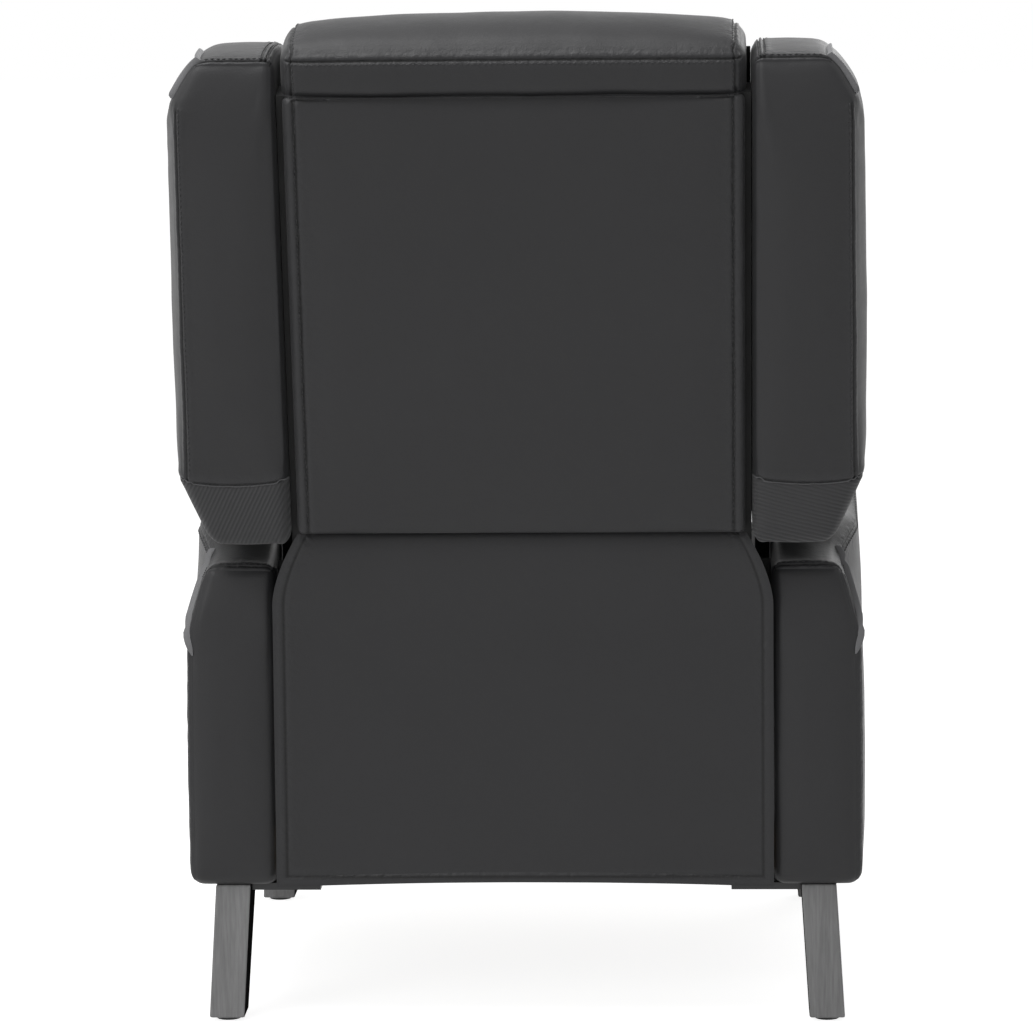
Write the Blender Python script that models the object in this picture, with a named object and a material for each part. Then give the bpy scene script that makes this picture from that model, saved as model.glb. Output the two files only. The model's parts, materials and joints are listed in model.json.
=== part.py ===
"""Wing-back push-back recliner: upholstered arms on splayed wooden legs, a reclining back with
wings, a seat that glides forward with the back, and a footrest on folding steel linkages.

Built standing on the floor. X runs across the chair, +Y to its rear and +Z up. Points along the
chair are first given from the rear faces of the arms, forward as negative y.
"""

import math

import bmesh
import bpy
from mathutils import Matrix, Vector
from mathutils.bvhtree import BVHTree

# Fits
SEAT_GAP = 0.0003
LAYER_GAP = 0.0005
PIN_CLEARANCE = 0.0003
OPEN_PIVOT_CLEARANCE = 0.0008
SOFT_GAP = 0.0035
OVERRUN = 0.010

# Whole chair
WIDTH = 0.720
CHAIR_DEPTH = 0.690
BASE_HEIGHT = 0.150

# Arms
ARM_WIDTH = 0.096
ARM_REAR_HEIGHT = 0.495
ARM_SADDLE_HEIGHT = 0.534
ARM_SADDLE_SETBACK = 0.160
ARM_CREST_HEIGHT = 0.598
ARM_CREST_SETBACK = 0.380
ARM_FRONT_HEIGHT = 0.578
ARM_NOSE_DROP = 0.030
ARM_NOSE_DEPTH = 0.110
ARM_ROUNDING = 0.020
ARM_SIDE_CROWN = 0.002
ARM_LEAN_BELOW = 0.088
ARM_LEAN_ABOVE = 0.032
ARM_LEAN_IN = 0.026
ARM_FRONT_LEAN_IN = 0.006
ARM_LEAN_FADE = 0.200
PANEL_THICKNESS = 0.012
PANEL_REAR_SETBACK = 0.026
PANEL_FRONT_SETBACK = 0.575
PANEL_HEIGHT = 0.194

# Rails, legs and feet
RAIL_THICKNESS = 0.022
RAIL_LIFT = 0.004
FRONT_RAIL_HEIGHT = 0.040
FRONT_RAIL_SETBACK = 0.505
REAR_RAIL_HEIGHT = 0.046
REAR_RAIL_LIFT = 0.012
LEG_PLATE_THICKNESS = 0.0075
LEG_PLATE_WIDTH = 0.074
LEG_PLATE_DEPTH = 0.090
LEG_PLATE_SETBACK = 0.020
LEG_SETBACK = 0.010
LEG_WIDTH = 0.038
LEG_TOP_DEPTH = 0.062
LEG_FOOT_DEPTH = 0.044
LEG_INSET = 0.046
LEG_SPLAY = 0.009
LEG_RAKE = 0.012
LEG_EDGE = 0.002
GLIDE_HEIGHT = 0.004
GLIDE_RADIUS = 0.013

# Steel mechanism
BASE_PLATE_THICKNESS = 0.003
LINK_THICKNESS = 0.004
SEAT_PLATE_THICKNESS = 0.004
BAR_THICKNESS = 0.004
STUD_RADIUS = 0.005
EYE_RADIUS = 0.012
PLATE_CORNER = 0.008
PIVOT_SETBACK = 0.160
PIVOT_HEIGHT = 0.312
LINK_LENGTH = 0.075
LINK_PIVOT_HEIGHT = 0.227
FRONT_LINK_SETBACK = 0.490
REAR_LINK_SETBACK = 0.250
BASE_PLATE_HALF_HEIGHT = 0.018
CROSS_TUBE_RADIUS = 0.010
CROSS_TUBE_SETBACK = 0.370
LINK_TUBE_RADIUS = 0.008
BACK_LEAN = math.radians(14)
RECLINE = math.radians(45)

# Folding footrest linkage
BAR_LENGTH = 0.180
BAR_HALF_WIDTH = 0.009
SCISSOR_SETBACK = 0.553
SCISSOR_HEIGHT = 0.342
SCISSOR_RISE = math.radians(5)
FOLDED = math.radians(82)
OPENED = math.radians(8)
SLOT_ROD_RADIUS = 0.004
SLOT_WALL = 0.010
TORQUE_TUBE_RADIUS = 0.009
ARM_FLANGE_WIDTH = 0.024
ARM_FLANGE_THICKNESS = 0.003
GUSSET_LOW_SHARE = 0.72
GUSSET_HIGH_SHARE = 0.58
ARM_FLANGE_LOW_INSET = 0.015
ARM_FLANGE_HIGH_INSET = 0.013
SPACER_RADIUS = 0.009

# Seat
SEAT_TOP_FLANGE = 0.3585
SEAT_FLANGE_WIDTH = 0.028
SEAT_FLANGE_THICKNESS = 0.003
SEAT_PLATE_DEPTH = 0.082
SEAT_PLATE_REAR = 0.192
SEAT_FRAME_HEIGHT = 0.025
SEAT_FRAME_RAIL = 0.045
SEAT_FRAME_REAR = 0.184
SEAT_FRAME_FRONT = 0.620
SEAT_FRAME_SIDE_INSET = 0.014
SEAT_SPRING_COUNT = 4
SEAT_SPRING_WAVES = 8
SEAT_SPRING_WAVE_STEPS = 6
SEAT_SPRING_SWING = 0.018
SEAT_SPRING_WIRE = 0.0018
SEAT_LIP_DROP = 0.0078
SEAT_CUSHION_HEIGHT = 0.078
SEAT_CUSHION_CROWN = 0.016
SEAT_CUSHION_ROUNDING = 0.030
SEAT_CHANNEL_DEPTH = 0.006
SEAT_CHANNEL_WIDTH = 0.010
SEAT_CHANNEL_PLACE = 0.165
SEAT_ROLL_SETBACK = 0.105

# Footrest
FOOTREST_BOARD_THICKNESS = 0.012
FOOTREST_LIFT = 0.012
FOOTREST_TOP_DROP = 0.0085
FOOTREST_EDGE = 0.004
FOOTREST_SIDE_GAP = 0.006
FOOTREST_CUSHION_ROUNDING = 0.018
FOOTREST_CROWN = 0.008

# Back, in its own frame: y to the rear and z up the back, both from its pivot
BACK_REAR = 0.124
BACK_PANEL_THICKNESS = 0.0137
BACK_PANEL_LIFT = 0.0144
BACK_PANEL_TOP = 0.7365
BACK_PANEL_SIDE_INSET = 0.0065
BACK_PANEL_CROWN = 0.004
BACK_PANEL_ROUNDING = 0.006
BACK_FRAME_SIDE_GAP = 0.0009
BACK_FRAME_THICKNESS = 0.035
BACK_FRAME_RAIL = 0.045
BACK_FRAME_BOTTOM = 0.035
BACK_MID_RAIL = 0.360
BRACKET_TOP_GAP = 0.0186
BRACKET_HALF_WIDTH = 0.016
BRACKET_BELLY = BRACKET_HALF_WIDTH * 1.5
BACK_CUSHION_FRONT = -0.024
BACK_CUSHION_BOTTOM = 0.064
BACK_CUSHION_TOP = 0.560
BACK_CUSHION_SIDE_INSET = 0.0045
BACK_CUSHION_ROUNDING = 0.028
BACK_CUSHION_CROWN = 0.016
BACK_CHANNEL_DEPTH = 0.007
BACK_CHANNEL_WIDTH = 0.010
BACK_BOLSTER_PLACE = 0.150
LUMBAR_SEAM = 0.235
HEAD_RISE = 0.0655
HEAD_CUSHION_FRONT = -0.046
HEAD_CUSHION_ROUNDING = 0.026
HEAD_CUSHION_CROWN = 0.010
HEAD_REAR_DROP = 0.014
HEAD_FRONT_DROP = 0.036

# Wings, in the back's frame
WING_LIFT = 0.0216
WING_RISE = 0.0385
WING_FRONT = -0.100
WING_FRONT_BULGE = 0.022
WING_FRONT_DROP = 0.046
WING_DROP_START = 0.560
WING_REAR_PROUD = 0.002
WING_ROUNDING = 0.022
WING_INNER_GAP = 0.0006
WING_SIDE_CROWN = 0.003
WING_SHOULDER_DROP = 0.046
WING_SHOULDER_IN = 0.030
WING_HEM_HEIGHT = 0.0774
WING_HEM_IN = 0.031

# Accent piping
PIPING_WIDTH = 0.0065
PIPING_THICKNESS = 0.0025
ARM_PIPING_LOW_DROP = 0.095
ARM_PIPING_TOP_DROP = 0.0033
ARM_PIPING_SETBACK = 0.022
ARM_PIPING_RUN = 0.066
ARM_PIPING_STEPS = 16
WING_PIPING_LENGTH = 0.0375
WING_PIPING_TOP_DROP = 0.003
WING_PIPING_SETBACK = 0.026
WING_PIPING_STEPS = 12

# Rear flap
FLAP_THICKNESS = 0.003
FLAP_CELLS = 12
FLAP_TOP_PROUD = 0.0005
FLAP_SIDE_LAP = 0.002
FLAP_NECK_HEIGHT = 0.0185
FLAP_SHOULDER_DROP = 0.0955
FLAP_TOP_LAP = 0.0008
FLAP_BOTTOM_RISE = 0.007
FLAP_TUCK = 0.0100
FLAP_TUCK_HEIGHT = 0.1105

ROUND_SIDES = 16
ARC_STEPS = 5

# Heights that follow from the sizes above
HEIGHT_ABOVE_ALL = 2 * ARM_CREST_HEIGHT
ARM_LEAN_START = ARM_REAR_HEIGHT - ARM_LEAN_BELOW
ARM_LEAN_END = ARM_REAR_HEIGHT + ARM_LEAN_ABOVE
RAIL_BOTTOM = BASE_HEIGHT + RAIL_LIFT
PANEL_TOP = RAIL_BOTTOM + PANEL_HEIGHT
FOOTREST_BOTTOM = BASE_HEIGHT + FOOTREST_LIFT
FOOTREST_TOP = SEAT_TOP_FLANGE - FOOTREST_TOP_DROP
ARM_FLANGE_BOTTOM = FOOTREST_BOTTOM + ARM_FLANGE_LOW_INSET
ARM_FLANGE_TOP = FOOTREST_TOP - ARM_FLANGE_HIGH_INSET
HEAD_CUSHION_BOTTOM = BACK_CUSHION_TOP + SOFT_GAP
HEAD_CUSHION_TOP = BACK_PANEL_TOP + HEAD_RISE
WING_BOTTOM = ARM_SADDLE_HEIGHT - PIVOT_HEIGHT + WING_LIFT
WING_HEM = WING_BOTTOM + WING_HEM_HEIGHT
BRACKET_TOP = WING_BOTTOM - BRACKET_TOP_GAP
WING_TOP = BACK_PANEL_TOP + WING_RISE
WING_SHOULDER = WING_TOP - WING_SHOULDER_DROP
BACK_PANEL_BOTTOM = WING_BOTTOM + BACK_PANEL_LIFT
BACK_PANEL_LOW_EDGE = BACK_PANEL_BOTTOM * math.cos(BACK_LEAN) - BACK_REAR * math.sin(BACK_LEAN)
FLAP_BOTTOM = RAIL_BOTTOM
FLAP_TOP = PIVOT_HEIGHT + BACK_PANEL_LOW_EDGE + FLAP_TOP_LAP
FLAP_WIDENING_TOP = FLAP_TOP - FLAP_NECK_HEIGHT
FLAP_WIDENING_BOTTOM = FLAP_TOP - FLAP_SHOULDER_DROP
FLAP_TUCK_START = FLAP_TOP - FLAP_TUCK_HEIGHT

# Places across the chair, from the outside in
HALF_WIDTH = WIDTH / 2
LEG_CENTRE = HALF_WIDTH - LEG_INSET
ARM_INNER = HALF_WIDTH - ARM_WIDTH
FLAP_HALF_WIDTH = ARM_INNER + FLAP_SIDE_LAP
PANEL_OUTER = ARM_INNER - SEAT_GAP
PANEL_INNER = PANEL_OUTER - PANEL_THICKNESS
BASE_PLATE_OUTER = PANEL_INNER - SEAT_GAP
BASE_PLATE_INNER = BASE_PLATE_OUTER - BASE_PLATE_THICKNESS
LINK_OUTER = BASE_PLATE_INNER - LAYER_GAP
LINK_INNER = LINK_OUTER - LINK_THICKNESS
BACK_FRAME_HALF_WIDTH = LINK_INNER - BACK_FRAME_SIDE_GAP
BACK_PANEL_HALF_WIDTH = BACK_FRAME_HALF_WIDTH - BACK_PANEL_SIDE_INSET
BACK_CUSHION_HALF_WIDTH = BACK_FRAME_HALF_WIDTH - BACK_CUSHION_SIDE_INSET
FLAP_TOP_HALF_WIDTH = BACK_PANEL_HALF_WIDTH + FLAP_TOP_PROUD
SEAT_PLATE_OUTER = LINK_INNER - LAYER_GAP
SEAT_PLATE_INNER = SEAT_PLATE_OUTER - SEAT_PLATE_THICKNESS
OUTER_BAR_OUTER = SEAT_PLATE_INNER - LAYER_GAP
OUTER_BAR_INNER = OUTER_BAR_OUTER - BAR_THICKNESS
INNER_BAR_OUTER = OUTER_BAR_INNER - LAYER_GAP
INNER_BAR_INNER = INNER_BAR_OUTER - BAR_THICKNESS

SIDES = (("left", 1), ("right", -1))


def side_point(y, z):
    """A point in the chair's side view."""
    return Vector((0, y, z))


# Joint places in the side view, at rest
BACK_PIVOT = side_point(-PIVOT_SETBACK, PIVOT_HEIGHT)
HALF_RECLINE = RECLINE / 2
LINK_REACH = side_point(LINK_LENGTH * math.sin(HALF_RECLINE), LINK_LENGTH * math.cos(HALF_RECLINE))
FRONT_LINK_PIVOT = side_point(-FRONT_LINK_SETBACK, LINK_PIVOT_HEIGHT)
REAR_LINK_PIVOT = side_point(-REAR_LINK_SETBACK, LINK_PIVOT_HEIGHT)
FRONT_SEAT_PIVOT = FRONT_LINK_PIVOT + LINK_REACH
REAR_SEAT_PIVOT = REAR_LINK_PIVOT + LINK_REACH
PUSH_PIN = BACK_PIVOT + side_point(LINK_REACH.y, -LINK_REACH.z)
PUSH_SLOT_RUN = 2 * (LINK_LENGTH - LINK_REACH.z)
SCISSOR_PIVOT = side_point(-SCISSOR_SETBACK, SCISSOR_HEIGHT)
SCISSOR_AHEAD = side_point(-math.cos(SCISSOR_RISE), math.sin(SCISSOR_RISE))
SCISSOR_DOWN = side_point(-math.sin(SCISSOR_RISE), -math.cos(SCISSOR_RISE))


def scissor_point(bars_ahead, bars_down, angle=FOLDED):
    """A pivot of the folding linkage, counted in bar lengths along its two directions."""
    ahead = SCISSOR_AHEAD * (bars_ahead * BAR_LENGTH * math.cos(angle))
    down = SCISSOR_DOWN * (bars_down * BAR_LENGTH * math.sin(angle))
    return SCISSOR_PIVOT + ahead + down


SLOT_PIVOT = scissor_point(0, 1)
FIRST_CROSS = scissor_point(0.5, 0.5)
LOWER_ELBOW = scissor_point(1, 1)
UPPER_ELBOW = scissor_point(1, 0)
SECOND_CROSS = scissor_point(1.5, 0.5)
FOOTREST_EYE = scissor_point(2, 1)
BOARD_REAR = FOOTREST_EYE.y - BAR_HALF_WIDTH - SLOT_ROD_RADIUS


def smooth(value):
    """0 before 0, 1 after 1, and a smooth step between."""
    value = min(max(value, 0), 1)
    return value * value * (3 - 2 * value)


def between(low, high, share):
    return low + (high - low) * share


def paint(name, colour, roughness, metallic=0):
    """One principled material."""
    material = bpy.data.materials.new(name)
    material.use_nodes = True
    shader = material.node_tree.nodes["Principled BSDF"]
    shader.inputs["Base Color"].default_value = (*colour, 1)
    shader.inputs["Roughness"].default_value = roughness
    shader.inputs["Metallic"].default_value = metallic
    return material


def start_scene():
    for leftover in list(bpy.data.objects):
        bpy.data.objects.remove(leftover, do_unlink=True)


def axis_empty(name, place, parent=None, lean=0):
    """An empty on a joint's axis, which carries the pieces of one moving body."""
    empty = bpy.data.objects.new(name, None)
    bpy.context.scene.collection.objects.link(empty)
    empty.parent = parent
    empty.location = place - (Vector(parent["place"]) if parent else Vector((0, 0, 0)))
    empty.rotation_euler = (-lean, 0, 0)
    empty["place"] = place[:]
    return empty


def add_object(name, bm, carrier, finish, local=False):
    """Makes an object of a mesh given in the chair's frame, or in the carrier's own if local."""
    if not local:
        bm.transform(Matrix.Translation(-Vector(carrier["place"])))
    mesh = bpy.data.meshes.new(name)
    bm.to_mesh(mesh)
    bm.free()
    mesh.materials.append(finish)
    mesh.shade_smooth()
    mesh.set_sharp_from_angle(angle=math.radians(35))
    obj = bpy.data.objects.new(name, mesh)
    bpy.context.scene.collection.objects.link(obj)
    obj.parent = carrier
    return obj


def apply_tool(obj, bm, operation, carrier, local=False):
    """Joins a hidden tool shape to a piece, or cuts it away."""
    tool = add_object(f"{obj.name}_tool", bm, carrier, obj.data.materials[0], local)
    tool.hide_render = True
    tool.display_type = "WIRE"
    modifier = obj.modifiers.new(operation.title(), "BOOLEAN")
    modifier.operation = operation
    modifier.object = tool


def round_edges(obj, width, segments=2):
    modifier = obj.modifiers.new("Edges", "BEVEL")
    modifier.width = width
    modifier.segments = segments
    modifier.limit_method = "ANGLE"


def mirrored(bm, side):
    """Turns a mesh made for the left side into the right one."""
    if side < 0:
        bm.transform(Matrix.Scale(-1, 4, Vector((1, 0, 0))))
        bmesh.ops.reverse_faces(bm, faces=bm.faces)
    return bm


def block(low, high):
    """A box between two corners."""
    bm = bmesh.new()
    low = Vector(low)
    high = Vector(high)
    size = Matrix.Diagonal((high - low).to_4d())
    size[3][3] = 1
    bmesh.ops.create_cube(bm, size=1, matrix=Matrix.Translation((low + high) / 2) @ size)
    return bm


def cross_rod(low_x, high_x, centre, radius, bm=None, sides=ROUND_SIDES):
    """A round bar across the chair, added to a mesh if one is given."""
    bm = bm or bmesh.new()
    place = Matrix.Translation(Vector(((low_x + high_x) / 2, centre.y, centre.z)))
    turn = Matrix.Rotation(math.pi / 2, 4, "Y")
    bmesh.ops.create_cone(
        bm,
        cap_ends=True,
        segments=sides,
        radius1=radius,
        radius2=radius,
        depth=high_x - low_x,
        matrix=place @ turn,
    )
    return bm


def circle(centre, radius, sides=ROUND_SIDES):
    """A round outline in the side view."""
    steps = (2 * math.pi * number / sides for number in range(sides))
    return [centre + side_point(radius * math.cos(step), radius * math.sin(step)) for step in steps]


def capsule(start, end, radius):
    """The outline of a bar with round ends."""
    along = (end - start).normalized()
    heading = math.atan2(along.z, along.y)
    outline = []
    for centre, turn in ((end, heading - math.pi / 2), (start, heading + math.pi / 2)):
        for number in range(ARC_STEPS + 2):
            step = turn + math.pi * number / (ARC_STEPS + 1)
            outline.append(centre + side_point(radius * math.cos(step), radius * math.sin(step)))
    return outline


def rounded(corners):
    """An outline through corners, each a point and its radius, turned with arcs."""
    outline = []
    for number, (corner, radius) in enumerate(corners):
        before = (corners[number - 1][0] - corner).normalized()
        after = (corners[(number + 1) % len(corners)][0] - corner).normalized()
        half_turn = before.angle(after) / 2
        middle = (before + after).normalized()
        centre = corner + middle * (radius / math.sin(half_turn))
        start = corner + before * (radius / math.tan(half_turn)) - centre
        end = corner + after * (radius / math.tan(half_turn)) - centre
        for step in range(ARC_STEPS):
            outline.append(centre + start.slerp(end, step / (ARC_STEPS - 1)) * radius)
    return outline


def plate(outlines, low_x, high_x):
    """A flat plate across the chair. Its first outline is its edge and the others its holes."""
    flat = bpy.data.curves.new("plate", "CURVE")
    flat.dimensions = "2D"
    flat.fill_mode = "BOTH"
    flat.extrude = (high_x - low_x) / 2
    for outline in outlines:
        spline = flat.splines.new("POLY")
        spline.points.add(len(outline) - 1)
        spline.use_cyclic_u = True
        for point, place in zip(spline.points, outline):
            point.co = (place.y, place.z, 0, 1)
    holder = bpy.data.objects.new("plate", flat)
    mesh = bpy.data.meshes.new_from_object(holder)
    bm = bmesh.new()
    bm.from_mesh(mesh)
    bpy.data.objects.remove(holder)
    bpy.data.curves.remove(flat)
    bpy.data.meshes.remove(mesh)
    bmesh.ops.remove_doubles(bm, verts=bm.verts, dist=SEAT_GAP / 10)
    stand = Matrix(((0, 0, 1, (low_x + high_x) / 2), (1, 0, 0, 0), (0, 1, 0, 0), (0, 0, 0, 1)))
    bm.transform(stand)
    bmesh.ops.recalc_face_normals(bm, faces=bm.faces)
    if bm.calc_volume(signed=True) < 0:
        bmesh.ops.reverse_faces(bm, faces=bm.faces)
    return bm


def edge_lines(half, rounding, cells, extra=()):
    """Where to cut a soft block across one axis, so that its rounding and crown have points."""
    quarter = rounding * (1 - math.tan(math.pi / 8))
    flat = half - rounding
    lines = [flat * (2 * number / cells - 1) for number in range(cells + 1)]
    lines += [-half + quarter, half - quarter]
    return sorted(lines + list(extra))


def padded_block(low, high, rounding, crowns, cells, extras=((), (), ()), reshape=None):
    """A soft box with rounded edges, whose faces swell by their crowns towards their middles.

    crowns gives a pair for each axis, for its low and its high face. extras are more places to
    cut across each axis, from the block's middle. reshape then moves each point.
    """
    low = Vector(low)
    high = Vector(high)
    half = (high - low) / 2
    middle = (high + low) / 2
    bm = block(-half, half)
    for axis in range(3):
        normal = Vector([1 if number == axis else 0 for number in range(3)])
        for line in edge_lines(half[axis], rounding, cells[axis], extras[axis]):
            everything = bm.verts[:] + bm.edges[:] + bm.faces[:]
            bmesh.ops.bisect_plane(bm, geom=everything, plane_co=normal * line, plane_no=normal)
    for vert in bm.verts:
        place = vert.co.copy()
        limit = [half[axis] - rounding for axis in range(3)]
        core = Vector([min(max(place[axis], -limit[axis]), limit[axis]) for axis in range(3)])
        swell = [1 - (place[axis] / half[axis]) ** 2 for axis in range(3)]
        outward = (place - core).normalized()
        place = core + outward * rounding
        for axis in range(3):
            crown = crowns[axis][1 if outward[axis] > 0 else 0]
            across = [swell[number] for number in range(3) if number != axis]
            place[axis] += crown * outward[axis] * across[0] * across[1]
        vert.co = middle + place
        if reshape:
            vert.co = reshape(vert.co)
    return bm


def groove(distance, width):
    """How deep a sewn channel is at a distance from its line, from 1 to 0."""
    return math.exp(-((distance / width) ** 2))


def arm_height(y):
    """The height of an arm's top along the chair: low behind, a saddle under the wing, a crest."""
    setback = -y
    rise = ARM_SADDLE_HEIGHT - ARM_REAR_HEIGHT
    climb = ARM_CREST_HEIGHT - ARM_SADDLE_HEIGHT
    fall = ARM_CREST_HEIGHT - ARM_FRONT_HEIGHT
    height = ARM_REAR_HEIGHT + rise * smooth(setback / ARM_SADDLE_SETBACK)
    run = ARM_CREST_SETBACK - ARM_SADDLE_SETBACK
    height += climb * smooth((setback - ARM_SADDLE_SETBACK) / run)
    height -= fall * smooth((setback - ARM_CREST_SETBACK) / (CHAIR_DEPTH - ARM_CREST_SETBACK))
    nose = max((setback - CHAIR_DEPTH) / ARM_NOSE_DEPTH + 1, 0)
    return height - ARM_NOSE_DROP * nose * nose


def arm_lean(y, z):
    """How far an arm's outer side leans in at a point: most behind and above."""
    most = between(ARM_LEAN_IN, ARM_FRONT_LEAN_IN, smooth(-y / ARM_LEAN_FADE))
    return most * smooth((z - ARM_LEAN_START) / (ARM_LEAN_END - ARM_LEAN_START))


def shape_arm(place):
    """Carries a straight soft block to the arm's sloping top and leaning outer side."""
    share = (place.z - BASE_HEIGHT) / (ARM_REAR_HEIGHT - BASE_HEIGHT)
    z = between(BASE_HEIGHT, arm_height(place.y), share)
    outer_share = (place.x - ARM_INNER) / ARM_WIDTH
    return Vector((place.x - arm_lean(place.y, z) * outer_share, place.y, z))


def build_arm(word, side, carrier, finishes):
    soft = padded_block(
        (ARM_INNER, -CHAIR_DEPTH, BASE_HEIGHT),
        (HALF_WIDTH, 0, ARM_REAR_HEIGHT),
        ARM_ROUNDING,
        ((0, ARM_SIDE_CROWN), (0, 0), (0, 0)),
        (1, 9, 6),
        reshape=shape_arm,
    )
    build_arm_piping(word, side, BVHTree.FromBMesh(soft), carrier, finishes)
    add_object(f"arm_{word}", mirrored(soft, side), carrier, finishes["leather"])
    panel = block(
        (PANEL_INNER, -PANEL_FRONT_SETBACK, RAIL_BOTTOM),
        (PANEL_OUTER, -PANEL_REAR_SETBACK, PANEL_TOP),
    )
    add_object(f"arm_panel_{word}", mirrored(panel, side), carrier, finishes["plywood"])


def strip(rungs):
    """A flat tape through rungs, each four corners in order round it."""
    bm = bmesh.new()
    rings = [[bm.verts.new(corner) for corner in rung] for rung in rungs]
    for near, far in zip(rings, rings[1:]):
        for number in range(4):
            after = (number + 1) % 4
            bm.faces.new((near[number], near[after], far[after], far[number]))
    bm.faces.new(rings[0][::-1])
    bm.faces.new(rings[-1])
    bmesh.ops.recalc_face_normals(bm, faces=bm.faces)
    return bm


def outer_side(surface, near, far, height):
    """The outermost x of a soft surface at a height, over a narrow band of its length."""
    inward = Vector((-1, 0, 0))
    return max(surface.ray_cast(Vector((WIDTH, y, height)), inward)[0].x for y in (near, far))


def piping_rung(surface, y, z, limit):
    """One cross section of flat piping: its inner edge on the surface, its outer edge proud."""
    near = y + PIPING_THICKNESS / 2
    far = y - PIPING_THICKNESS / 2
    inner = outer_side(surface, near, far, z) + SEAT_GAP
    outer = min(inner + PIPING_WIDTH, limit)
    return [(inner, near, z), (outer, near, z), (outer, far, z), (inner, far, z)]


def closing_steps(number, steps):
    """Shares of a run whose steps shorten toward its end, where the surface under it rounds over."""
    share = number / steps
    return share * (2 - share)


def build_arm_piping(word, side, surface, carrier, finishes):
    """Grey flat piping, proud of the arm's outer side, up its rear corner."""
    rungs = []
    for number in range(ARM_PIPING_STEPS + 1):
        share = closing_steps(number, ARM_PIPING_STEPS)
        y = -ARM_PIPING_SETBACK - ARM_PIPING_RUN * share * share
        above = Vector((ARM_INNER + ARM_WIDTH / 2, y, HEIGHT_ABOVE_ALL))
        crown = surface.ray_cast(above, Vector((0, 0, -1)))[0].z
        z = crown - between(ARM_PIPING_LOW_DROP, ARM_PIPING_TOP_DROP, share)
        rungs.append(piping_rung(surface, y, z, HALF_WIDTH + ARM_SIDE_CROWN))
    add_object(f"arm_piping_{word}", mirrored(strip(rungs), side), carrier, finishes["piping"])


def build_leg(end, word, side, carrier, finishes):
    """A splayed wooden leg under the arm, its mounting plate beside it and a glide under it."""
    rear = end == "rear"
    plate_top = BASE_HEIGHT - SEAT_GAP
    plate_bottom = plate_top - LEG_PLATE_THICKNESS
    far_y = -LEG_PLATE_SETBACK if rear else -CHAIR_DEPTH + LEG_PLATE_SETBACK + LEG_PLATE_DEPTH
    near_y = far_y - LEG_PLATE_DEPTH
    outer = LEG_CENTRE - LEG_WIDTH / 2 - SEAT_GAP
    mounting = block((outer - LEG_PLATE_WIDTH, near_y, plate_bottom), (outer, far_y, plate_top))
    name = f"leg_plate_{end}_{word}"
    add_object(name, mirrored(mounting, side), carrier, finishes["dark_steel"])
    middle_y = -LEG_SETBACK - LEG_TOP_DEPTH / 2
    if not rear:
        middle_y = -CHAIR_DEPTH - middle_y
    rake = LEG_RAKE if rear else -LEG_RAKE
    foot = GLIDE_HEIGHT + SEAT_GAP
    leg = bmesh.new()
    rings = []
    levels = (
        (foot, LEG_CENTRE + LEG_SPLAY, middle_y + rake, LEG_FOOT_DEPTH),
        (plate_top, LEG_CENTRE, middle_y, LEG_TOP_DEPTH),
    )
    for z, x, y, depth in levels:
        corners = [(-1, -1), (1, -1), (1, 1), (-1, 1)]
        ring = [(x + a * LEG_WIDTH / 2, y + b * depth / 2, z) for a, b in corners]
        rings.append([leg.verts.new(corner) for corner in ring])
    for number in range(4):
        after = (number + 1) % 4
        low_ring, high_ring = rings
        leg.faces.new((low_ring[number], low_ring[after], high_ring[after], high_ring[number]))
    leg.faces.new(rings[0][::-1])
    leg.faces.new(rings[1])
    obj = add_object(f"leg_{end}_{word}", mirrored(leg, side), carrier, finishes["stained_wood"])
    round_edges(obj, LEG_EDGE)
    glide = bmesh.new()
    place = Vector((LEG_CENTRE + LEG_SPLAY, middle_y + rake, GLIDE_HEIGHT / 2))
    bmesh.ops.create_cone(
        glide,
        cap_ends=True,
        segments=ROUND_SIDES,
        radius1=GLIDE_RADIUS,
        radius2=GLIDE_RADIUS,
        depth=GLIDE_HEIGHT,
        matrix=Matrix.Translation(place),
    )
    add_object(f"foot_glide_{end}_{word}", mirrored(glide, side), carrier, finishes["plastic"])


def build_rails(carrier, finishes):
    half = PANEL_INNER - SEAT_GAP
    front = block(
        (-half, -FRONT_RAIL_SETBACK - RAIL_THICKNESS, RAIL_BOTTOM),
        (half, -FRONT_RAIL_SETBACK, RAIL_BOTTOM + FRONT_RAIL_HEIGHT),
    )
    add_object("front_rail", front, carrier, finishes["wood"])
    rear_half = ARM_INNER - SEAT_GAP
    rear_bottom = RAIL_BOTTOM + REAR_RAIL_LIFT
    rear = block(
        (-rear_half, -RAIL_THICKNESS, rear_bottom),
        (rear_half, 0, rear_bottom + REAR_RAIL_HEIGHT),
    )
    add_object("rear_rail", rear, carrier, finishes["wood"])


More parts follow.
